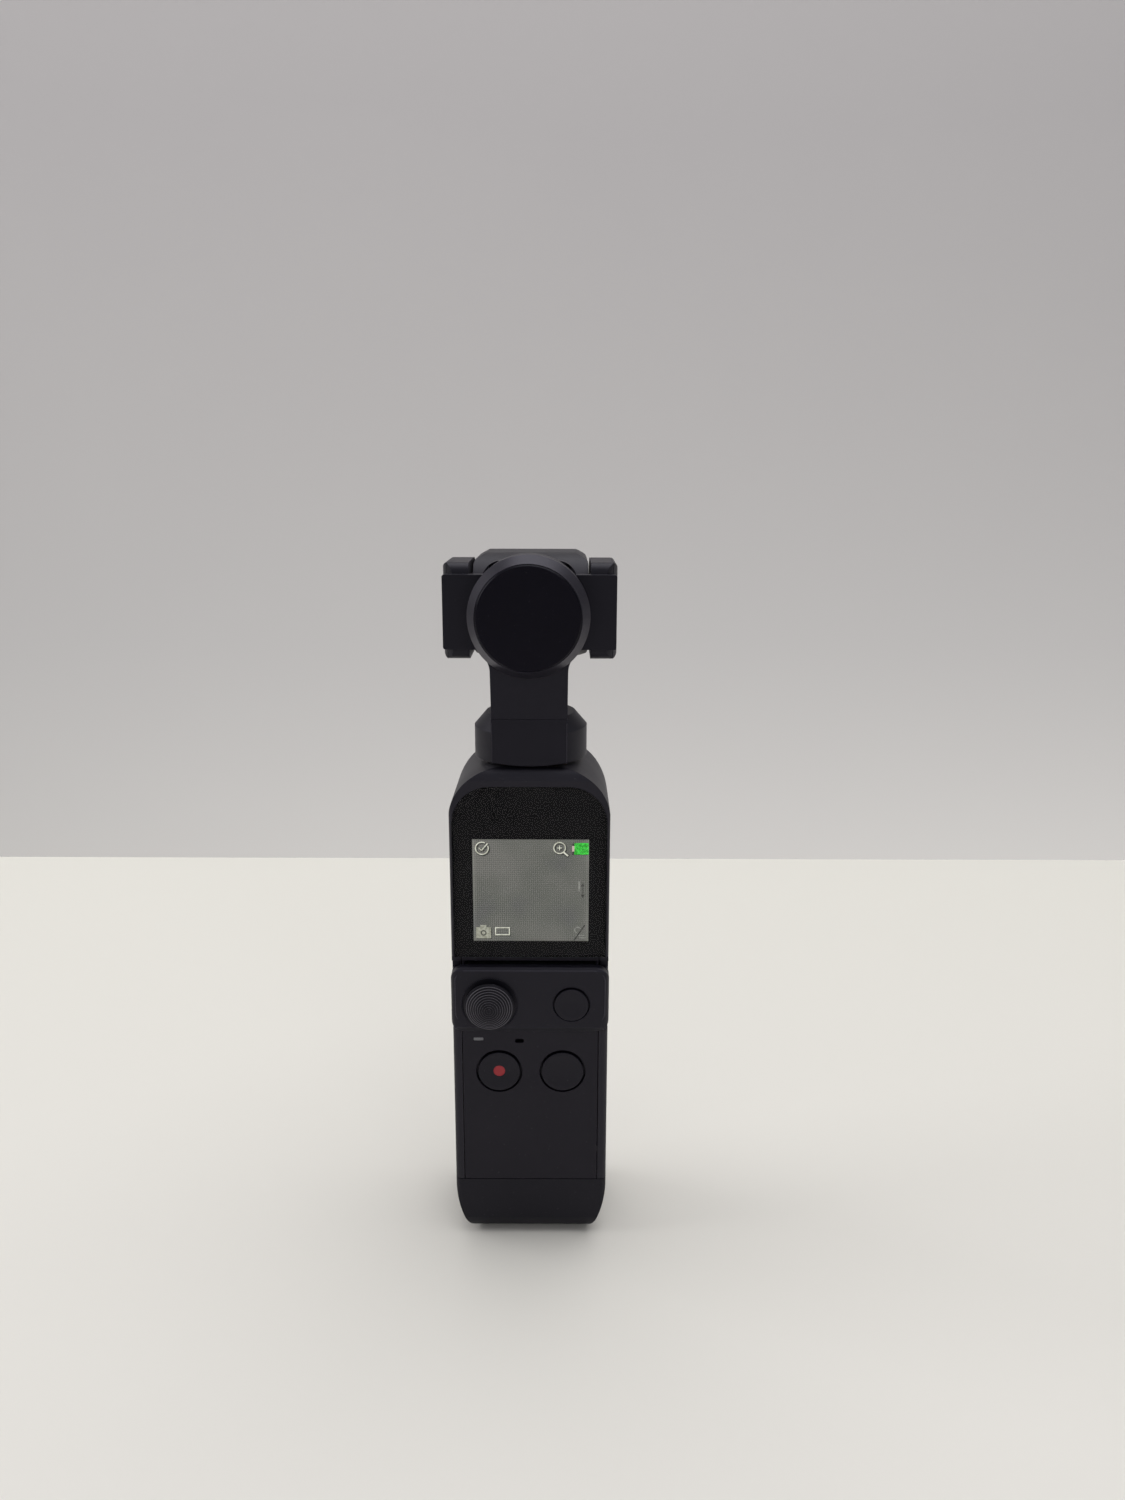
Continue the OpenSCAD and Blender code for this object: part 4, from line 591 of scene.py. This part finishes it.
def clear_glass(name, colour, rough, bend, coating_reflection=None):
    """Clear glass with faint smears. A low bend stands for a coating that takes off most reflections, and
    its coating reflection is a painted reflection: a colour mixed in where the glass turns away."""
    glass = Finish(name, Base_Color=colour, Transmission_Weight=1.0, IOR=bend)
    smears = glass.cloud(glass.place, scale=140, detail=5.0, Distortion=0.8)
    smear_haze = 0.006
    if coating_reflection:
        # Painted reflection: the coating's coloured reflection is mixed into the glass colour where it turns
        # away from the viewer.
        flank = glass.node("ShaderNodeLayerWeight", Blend=0.35).outputs["Facing"]
        glass.give(glass.shader, Base_Color=glass.blend(flank, colour, coating_reflection))
    return glass.end(Roughness=glass.span(smears, low=0.45, high=0.75, to_low=rough,
                                          to_high=rough + smear_haze))


screen_clear = clear_glass("screen glass", (0.93, 0.94, 0.95), rough=0.006, bend=1.16)
wear(screen_clear, "screen_glass")

# Display
# The lit panel, glued behind the glass, shows a dim grey live picture with a fine weave of pixels, and
# small plain marks for the mode, the zoom, the charge and the switched-off light.

panel_black = cased("display edge", (0.02, 0.02, 0.022), 0.4, fineness=6000, depth=0.002, dust=0.0, rub_and_highlight=0.3)
wear(panel_black, "display_panel")

picture_gap = 0.045 * mm
picture_y = glass_back + picture_gap
picture_thick = 0.01 * mm
picture_lap = 0.06 * mm
dot_pitch = 0.36 * mm
weave_depth = 0.3
side_glow = (9.35 * mm, 9.95 * mm)
side_gain = 1.35
mark_lift = 0.012 * mm
mark_step = 0.006 * mm
mark_thick = 0.004 * mm
unlit = (0.01, 0.01, 0.01)


def lit_picture():
    """A dim live picture: slow shades from grey to a warmer grey, a fine pixel weave and paler side edges."""
    lit = Finish("live picture", Base_Color=unlit, Roughness=0.4, Emission_Strength=1.0)
    drift = lit.cloud(lit.place, scale=130, detail=1.5)
    shades = lit.ramp(drift, (0.3, (0.088, 0.088, 0.088)), (0.5, (0.112, 0.114, 0.098)),
                      (0.7, (0.142, 0.139, 0.124)))
    parts = lit.node("ShaderNodeSeparateXYZ", lit.place).outputs
    waves = [lit.sum("SINE", lit.sum("MULTIPLY", parts[way], 2 * math.pi / dot_pitch)) for way in ("X", "Z")]
    depth = lit.sum("MULTIPLY", lit.cloud(lit.place, scale=150, detail=0.0), weave_depth)
    weave = lit.sum("MULTIPLY", lit.sum("ADD", *waves), depth)
    reach = lit.sum("ABSOLUTE", lit.sum("SUBTRACT", parts["X"], (window_x[0] + window_x[1]) / 2))
    sides = lit.span(reach, *side_glow, 1.0, side_gain)
    strength = lit.sum("MULTIPLY", sides, lit.sum("ADD", weave, 1.0))
    glow = lit.first("ShaderNodeVectorMath", shades, operation="SCALE", Scale=strength)
    return lit.end(Emission_Color=glow)


def flat_marks_mesh(name, loops, depth_y, thick):
    """Thin flat marks from closed loops in x and z, seen from the screen side."""
    build = bmesh.new()
    for loop in loops:
        near = [build.verts.new((x, depth_y - thick, z)) for x, z in loop]
        far = [build.verts.new((x, depth_y, z)) for x, z in loop]
        build.faces.new(near)
        build.faces.new(list(reversed(far)))
        for a in range(len(loop)):
            b = (a + 1) % len(loop)
            build.faces.new((near[b], near[a], far[a], far[b]))
    bmesh.ops.recalc_face_normals(build, faces=build.faces)
    mesh = bpy.data.meshes.new(name)
    build.to_mesh(mesh)
    build.free()
    return mesh


def oblong(x0, z0, x1, z1):
    """A bar between two corners. All marks are placed in millimetres from the handle's middle and foot."""
    return [(x0 * mm, z0 * mm), (x1 * mm, z0 * mm), (x1 * mm, z1 * mm), (x0 * mm, z1 * mm)]


def stroke(x0, z0, x1, z1, wide):
    """A straight stroke of a mark, as a slim four-cornered loop."""
    run, rise = x1 - x0, z1 - z0
    length = math.hypot(run, rise)
    dx, dz = -rise / length * wide / 2, run / length * wide / 2
    return [((x0 + dx) * mm, (z0 + dz) * mm), ((x1 + dx) * mm, (z1 + dz) * mm),
            ((x1 - dx) * mm, (z1 - dz) * mm), ((x0 - dx) * mm, (z0 - dz) * mm)]


def hoop(x, z, radius, wide, spans, start=0, end=360):
    """A ring of a mark, or a part of one, as short strokes that meet."""
    turns = [math.radians(start + (end - start) * a / spans) for a in range(spans + 1)]
    points = [(x + radius * math.cos(turn), z + radius * math.sin(turn)) for turn in turns]
    return [stroke(*a, *b, wide) for a, b in zip(points, points[1:])]


def shifted(loops, dx, dz):
    """The same loops, moved by millimetres."""
    return [[(x + dx * mm, z + dz * mm) for x, z in loop] for loop in loops]


def drawn_marks(wide):
    """The tick in its ring and the magnifier with its cross, in strokes of a width."""
    lens_x, lens_z, arm = 5.14, 75.29, 0.44
    grip_wide, cross_wide = 1.4 * wide, 0.8 * wide
    ring = hoop(-8.21, 75.2, radius=1.1, wide=wide, spans=24, start=62, end=385)
    tick = [stroke(-8.73, 75.25, -8.28, 74.8, wide), stroke(-8.28, 74.8, -7.2, 76.1, wide)]
    lens = hoop(lens_x, lens_z, radius=1.0, wide=wide, spans=24)
    grip = stroke(5.85, 74.5, 6.6, 73.85, grip_wide)
    cross = [stroke(lens_x - arm, lens_z, lens_x + arm, lens_z, cross_wide),
             stroke(lens_x, lens_z - arm, lens_x, lens_z + arm, cross_wide)]
    return ring + tick + lens + [grip] + cross


def mark_finish(name, dim, bright):
    """Lit marks whose tone changes a little from dot to dot."""
    mark = Finish(name, Base_Color=unlit, Emission_Strength=1.0)
    dots = mark.cloud(mark.place, scale=2200)
    return mark.end(Emission_Color=mark.ramp(dots, (0.35, dim), (0.65, bright)))


def add_marks(name, loops, layer, finish):
    """Puts marks in front of the picture, in a layer that is counted from 0 towards the viewer."""
    mesh = flat_marks_mesh(name, loops, picture_y - mark_lift - layer * mark_step, mark_thick)
    add_piece(name, mesh, finish, "handle", "display")


x0, x1 = window_x[0] - picture_lap, window_x[1] + picture_lap
z0, z1 = window_z[0] - picture_lap, window_z[1] + picture_lap
picture = [(x0, z0), (x1, z0), (x1, z1), (x0, z1)]
add_piece("live_picture", flat_marks_mesh("live_picture", [picture], picture_y, picture_thick), lit_picture(),
          "handle", "display")

picture_frame = [oblong(-6.11, 60.5, -3.5, 60.7), oblong(-6.11, 59.2, -3.5, 59.4),
                 oblong(-6.11, 59.4, -5.91, 60.5), oblong(-3.7, 59.4, -3.5, 60.5)]
camera_mark = [oblong(-9.42, 58.61, -6.82, 60.7), oblong(-8.7, 60.7, -7.6, 61.1)]
camera_mark_lens = hoop(-8.12, 59.63, radius=0.42, wide=0.2, spans=16)
lamp_bulb = hoop(8.35, 60.2, radius=0.55, wide=0.14, spans=10, start=30, end=250)
lamp_base = [stroke(8.0, 59.2, 9.5, 59.2, wide=0.16), stroke(8.6, 58.75, 9.7, 58.75, wide=0.16)]
lamp_slash = stroke(9.57, 61.15, 7.7, 58.25, wide=0.24)
zoom_bar = oblong(8.4, 67.4, 8.7, 69.2)
zoom_arrows = [[(8.85 * mm, 68.3 * mm), (9.5 * mm, 68.3 * mm), (9.18 * mm, 68.95 * mm)],
               [(8.85 * mm, 66.75 * mm), (9.18 * mm, 66.1 * mm), (9.5 * mm, 66.75 * mm)],
               oblong(9.12, 66.75, 9.24, 68.3)]
charge_bar = oblong(7.31, 74.11, 10.14, 76.18)

shade_wide = 0.42
line_wide = 0.19
shades = shifted(drawn_marks(shade_wide) + picture_frame + camera_mark, 0.14, -0.14) + zoom_arrows
shades += shifted([charge_bar], 0.0, -0.1)
shade = mark_finish("mark shadows", dim=(0.018, 0.018, 0.014), bright=(0.035, 0.034, 0.030))
add_marks("mark_shadows", shades, 0, shade)
dim_lit = mark_finish("dim marks", dim=(0.20, 0.20, 0.18), bright=(0.28, 0.28, 0.25))
add_marks("mark_dim", lamp_bulb + lamp_base + [zoom_bar], 1, dim_lit)
clear_lit = mark_finish("screen marks", dim=(0.50, 0.50, 0.40), bright=(0.78, 0.78, 0.66))
add_marks("screen_marks", drawn_marks(line_wide) + picture_frame, 2, clear_lit)
soft_lit = mark_finish("camera mark", dim=(0.26, 0.26, 0.20), bright=(0.42, 0.42, 0.34))
add_marks("camera_mark", camera_mark, 2, soft_lit)
add_marks("mark_details", camera_mark_lens + [lamp_slash], 3, shade)
cap_lit = mark_finish("charge cap", dim=(0.50, 0.36, 0.34), bright=(0.72, 0.60, 0.54))
add_marks("charge_cap", [oblong(7.31, 74.65, 7.72, 75.65)], 2, cap_lit)
green_lit = mark_finish("charge green", dim=(0.012, 0.30, 0.012), bright=(0.05, 0.74, 0.06))
add_marks("charge_mark", [oblong(7.68, 74.11, 10.14, 76.18)], 3, green_lit)

# Port for the module
# Stamped steel rails with gold-plated spring contacts between them, which show once the module is slid
# off. The charging and card sockets are stamped from the same bright steel.

rail_steel = cased("rail steel", (0.42, 0.42, 0.43), 0.32, fineness=3800, depth=0.002, metal=1.0, dust=0.1,
                   rub_and_highlight=0.3)
wear(rail_steel, "port_rails", "usb_socket", "card_socket")
gold_plate = cased("gold plate", (0.80, 0.56, 0.21), 0.26, fineness=4200, depth=0.001, metal=1.0, dust=0.05,
                   rub_and_highlight=0.2)
wear(gold_plate, "port_contacts", "module_contacts")

# Boards, battery and inner metal
# Circuit boards and their chips under one green coat, a foil-wrapped cell and a milled mid frame fill
# the handle. The bases of two motors, the stick's stem and its cradle are of the same milled metal.

board_green = cased("board green", (0.018, 0.085, 0.045), 0.4, fineness=3000, depth=0.01, dust=0.2, rub_and_highlight=0.6)
wear(board_green, "button_board", "main_board", "module_board", "sensor_board")
cell_wrap = cased("cell wrap", (0.36, 0.37, 0.39), 0.4, fineness=900, depth=0.02, dust=0.1, rub_and_highlight=0.4)
wear(cell_wrap, "battery")
milled_metal = cased("milled metal", (0.55, 0.55, 0.57), 0.36, fineness=4800, depth=0.003, metal=1.0,
                     dust=0.05, rub_and_highlight=0.2)
wear(milled_metal, "mid_frame", "pan_motor_base", "roll_motor_base", "stick_stem", "stick_cradle")

# Motors
# Three brushless motors: laminated steel cores, wound with enamelled copper, nickel-plated magnets in
# steel cups, the tilt motor's cup blackened, and ground bearings. The screws are of the cores' tone.

core_steel = cased("laminated steel", (0.30, 0.30, 0.32), 0.38, depth=0.004, metal=1.0, dust=0.05, rub_and_highlight=0.2)
wear(core_steel, "pan_stator", "roll_stator", "tilt_stator", "pan_rotor", "roll_rotor", "handle_screws")
black_cup = cased("blackened motor cup", (0.014, 0.013, 0.018), 0.36, fineness=7000, depth=0.002, metal=0.6,
                  dust=0.1)
wear(black_cup, "tilt_rotor")
copper_wire = cased("enamelled copper", (0.55, 0.23, 0.08), 0.3, fineness=5600, depth=0.03, metal=0.9,
                    dust=0.0, rub_and_highlight=0.2)

motor_teeth = 9
strand_share = 0.3


def wind(motor, body, turned, *, inner, outer, tooth, wire):
    """A motor's wound teeth: turns of wire side by side round each tooth, and the teeth in a ring.

    The motor's joint says where its axis is, and its iron core how long the teeth are. The radii, the tooth
    and the wire are in millimetres."""
    name = motor + "_windings"
    joint = next(joint for joint in frame["joints"] if joint["name"] == motor)
    way = joint["axis"].index(1)
    core_low, core_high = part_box(motor + "_stator")
    core = core_high[way] - core_low[way]
    place = list(joint["pos_m"])
    place[way] = core_low[way]
    strand = strand_share * wire * mm
    coil = Rule(name, Inner_Radius=inner * mm, Height=core + wire * mm, Width=(tooth + wire) * mm,
                Strand=strand, Turns=int((outer - inner) * mm / (2 * strand)), Teeth=motor_teeth)
    loop = coil.first("GeometryNodeCurvePrimitiveQuadrilateral", Width=coil.sizes["Width"],
                      Height=coil.sizes["Height"])
    bent = coil.first("GeometryNodeFilletCurve", mode="POLY", Curve=loop, Radius=wire / 2 * mm, Count=3)
    upright = coil.first("GeometryNodeTransform", coil.tube(bent, coil.sizes["Strand"], False),
                         Rotation=(math.pi / 2, 0.0, math.pi / 2), Translation=(0.0, 0.0, core / 2))
    start = coil.point(coil.sum("ADD", coil.sizes["Inner Radius"], coil.sizes["Strand"]), 0.0, 0.0)
    pitch = coil.point(coil.sum("MULTIPLY", coil.sizes["Strand"], 2.0), 0.0, 0.0)
    along = coil.first("GeometryNodeMeshLine", Count=coil.sizes["Turns"], Start_Location=start, Offset=pitch)
    one_tooth = coil.first("GeometryNodeInstanceOnPoints", along, Instance=upright)
    centre = coil.first("GeometryNodeMeshLine", Count=coil.sizes["Teeth"], Offset=(0.0, 0.0, 0.0))
    step = coil.sum("DIVIDE", 2 * math.pi, coil.sizes["Teeth"])
    angle = coil.sum("MULTIPLY", coil.first("GeometryNodeInputIndex"), step)
    ring = coil.first("GeometryNodeInstanceOnPoints", centre, Instance=one_tooth,
                      Rotation=coil.point(0.0, 0.0, angle))
    put = coil.first("GeometryNodeTransform", coil.first("GeometryNodeRealizeInstances", ring),
                     Rotation=turned, Translation=place)
    add_piece(name, coil.grow(put, copper_wire), copper_wire, body, "copper_wire", motor + "_coils")


wind("pan", "handle", (0.0, 0.0, 0.0), inner=4.9, outer=6.65, tooth=1.3, wire=0.6)
wind("roll", "arm", (-math.pi / 2, 0.0, 0.0), inner=4.3, outer=5.35, tooth=0.9, wire=0.45)
wind("tilt", "yoke", (0.0, math.pi / 2, 0.0), inner=3.3, outer=4.55, tooth=0.7, wire=0.35)

nickel = cased("nickel plate", (0.42, 0.42, 0.44), 0.28, fineness=5000, depth=0.002, metal=1.0, dust=0.0,
               rub_and_highlight=0.2)
wear(nickel, "pan_magnets", "roll_magnets", "tilt_magnets")
ground_steel = cased("ground steel", (0.60, 0.60, 0.62), 0.18, fineness=7000, depth=0.001, metal=1.0,
                     dust=0.0, rub_and_highlight=0.2)
wear(ground_steel, "pan_bearings", "roll_bearings", "tilt_bearings")

# Gimbal arm, yoke and their caps
# Die-cast metal arms, blasted and anodised black, with moulded covers in the same tone. A painted highlight
# runs down the edges of the arm's foot, and a painted shadow lies along the motor cap's seam.

gimbal_black = cased("anodised gimbal black", (0.0056, 0.0052, 0.0091), 0.45, fineness=8200, depth=0.006,
                     metal=0.15, edge=0.18, rub_and_highlight=2.2)
wear(gimbal_black, "arm_frame", "yoke_frame")
gimbal_cover_black = cased("gimbal cover black", (0.0057, 0.0053, 0.0092), 0.47, fineness=7000, depth=0.007,
                           rub_and_highlight=2.2)
wear(gimbal_cover_black, "arm_cover", "motor_cap", "bearing_cap")

arm_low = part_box("arm_frame")[0]
cover_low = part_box("arm_cover")[0]
foot_edge_x = 6.28 * mm
foot_edge_y = arm_low[1] + 0.01 * mm
foot_edge_z = (arm_low[2] + 0.5 * mm, cover_low[2] - 0.7 * mm)
foot_bead = 0.045 * mm
cap_low, cap_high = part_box("motor_cap")
seam_y = -2.22 * mm
seam_ends = [(cap_low[0] - 1.0 * mm, seam_y, 121.3 * mm), (cap_high[0] - 0.3 * mm, seam_y, 121.1 * mm)]
seam_bead = 0.05 * mm
bead_points = 9


def edge_bead(name, ends, bead, finish, body, slot):
    """A thin bead along an edge between two ends."""
    line = Rule(name, Bead=bead)
    run = line.first("GeometryNodeCurvePrimitiveLine", Start=ends[0], End=ends[1])
    parted = line.first("GeometryNodeResampleCurve", Curve=run, Count=bead_points)
    add_piece(name, line.grow(line.tube(parted, line.sizes["Bead"], True), finish), finish, body, slot)


# Pale beads down the foot's front edges: a painted highlight.
foot_edge_highlight = cased("worn gimbal edge", (0.036, 0.034, 0.044), 0.36, depth=0.003, edge=0.03, rub_and_highlight=0.8)
for side, x in (("left", -foot_edge_x), ("right", foot_edge_x)):
    foot_ends = [(x, foot_edge_y, z) for z in foot_edge_z]
    edge_bead("foot_edge_" + side, foot_ends, foot_bead, foot_edge_highlight, "arm", "gimbal_black")
# A near-black bead with almost no gloss along the cap's seam: a painted shadow.
seam_shadow = cased("seam shadow", (0.001, 0.001, 0.0014), 0.7, depth=0.001, dust=0.0, rub_and_highlight=0.1, level=0.05)
edge_bead("cap_seam", seam_ends, seam_bead, seam_shadow, "yoke", "gimbal_cap_black")

# Roll motor's face
# A turned metal ring with a bevel, satin anodised and paler than the arm, round a smooth dark plastic disc
# that is glued into its seat.

bezel_satin = cased("satin bezel", (0.0176, 0.0164, 0.0232), 0.38, fineness=9000, depth=0.003, metal=0.3,
                    edge=0.12, rub_and_highlight=1.6)
wear(bezel_satin, "roll_bezel")
disc_dark = cased("dark disc", (0.0035, 0.0030, 0.0062), 0.3, fineness=9000, depth=0.0008, edge=0.1,
                  rub_and_highlight=1.0, dust=0.5, level=0.12)
wear(disc_dark, "roll_cover")

# Camera head
# Two moulded half shells in satin black, with a turned lens ring round the coated front glass. Behind it,
# a matt black barrel holds three coated lenses in front of the sensor.

camera_black = cased("camera head black", (0.0052, 0.0048, 0.0084), 0.46, fineness=7200, depth=0.006,
                     edge=0.18, rub_and_highlight=2.0)
wear(camera_black, "camera_shell", "camera_front")
ring_black = cased("lens ring black", (0.009, 0.009, 0.010), 0.34, fineness=9000, depth=0.003, metal=0.4,
                   edge=0.12, rub_and_highlight=2.0)
wear(ring_black, "lens_ring")
barrel_black = cased("barrel black", (0.006, 0.006, 0.007), 0.7, fineness=4200, depth=0.01, dust=0.0, rub_and_highlight=0.5)
wear(barrel_black, "lens_barrel")
front_coated = clear_glass("coated front glass", (0.90, 0.93, 0.97), rough=0.002, bend=1.3,
                           coating_reflection=(0.55, 0.62, 0.95))
wear(front_coated, "lens_glass")
lens_coated = clear_glass("coated lenses", (0.88, 0.92, 0.90), rough=0.002, bend=1.2,
                          coating_reflection=(0.75, 0.45, 0.85))
wear(lens_coated, "lens_elements")
sensor_dark = cased("sensor", (0.04, 0.035, 0.07), 0.12, fineness=9000, depth=0.0005, dust=0.0, rub_and_highlight=0.2,
                    metal=0.5)
wear(sensor_dark, "image_sensor")
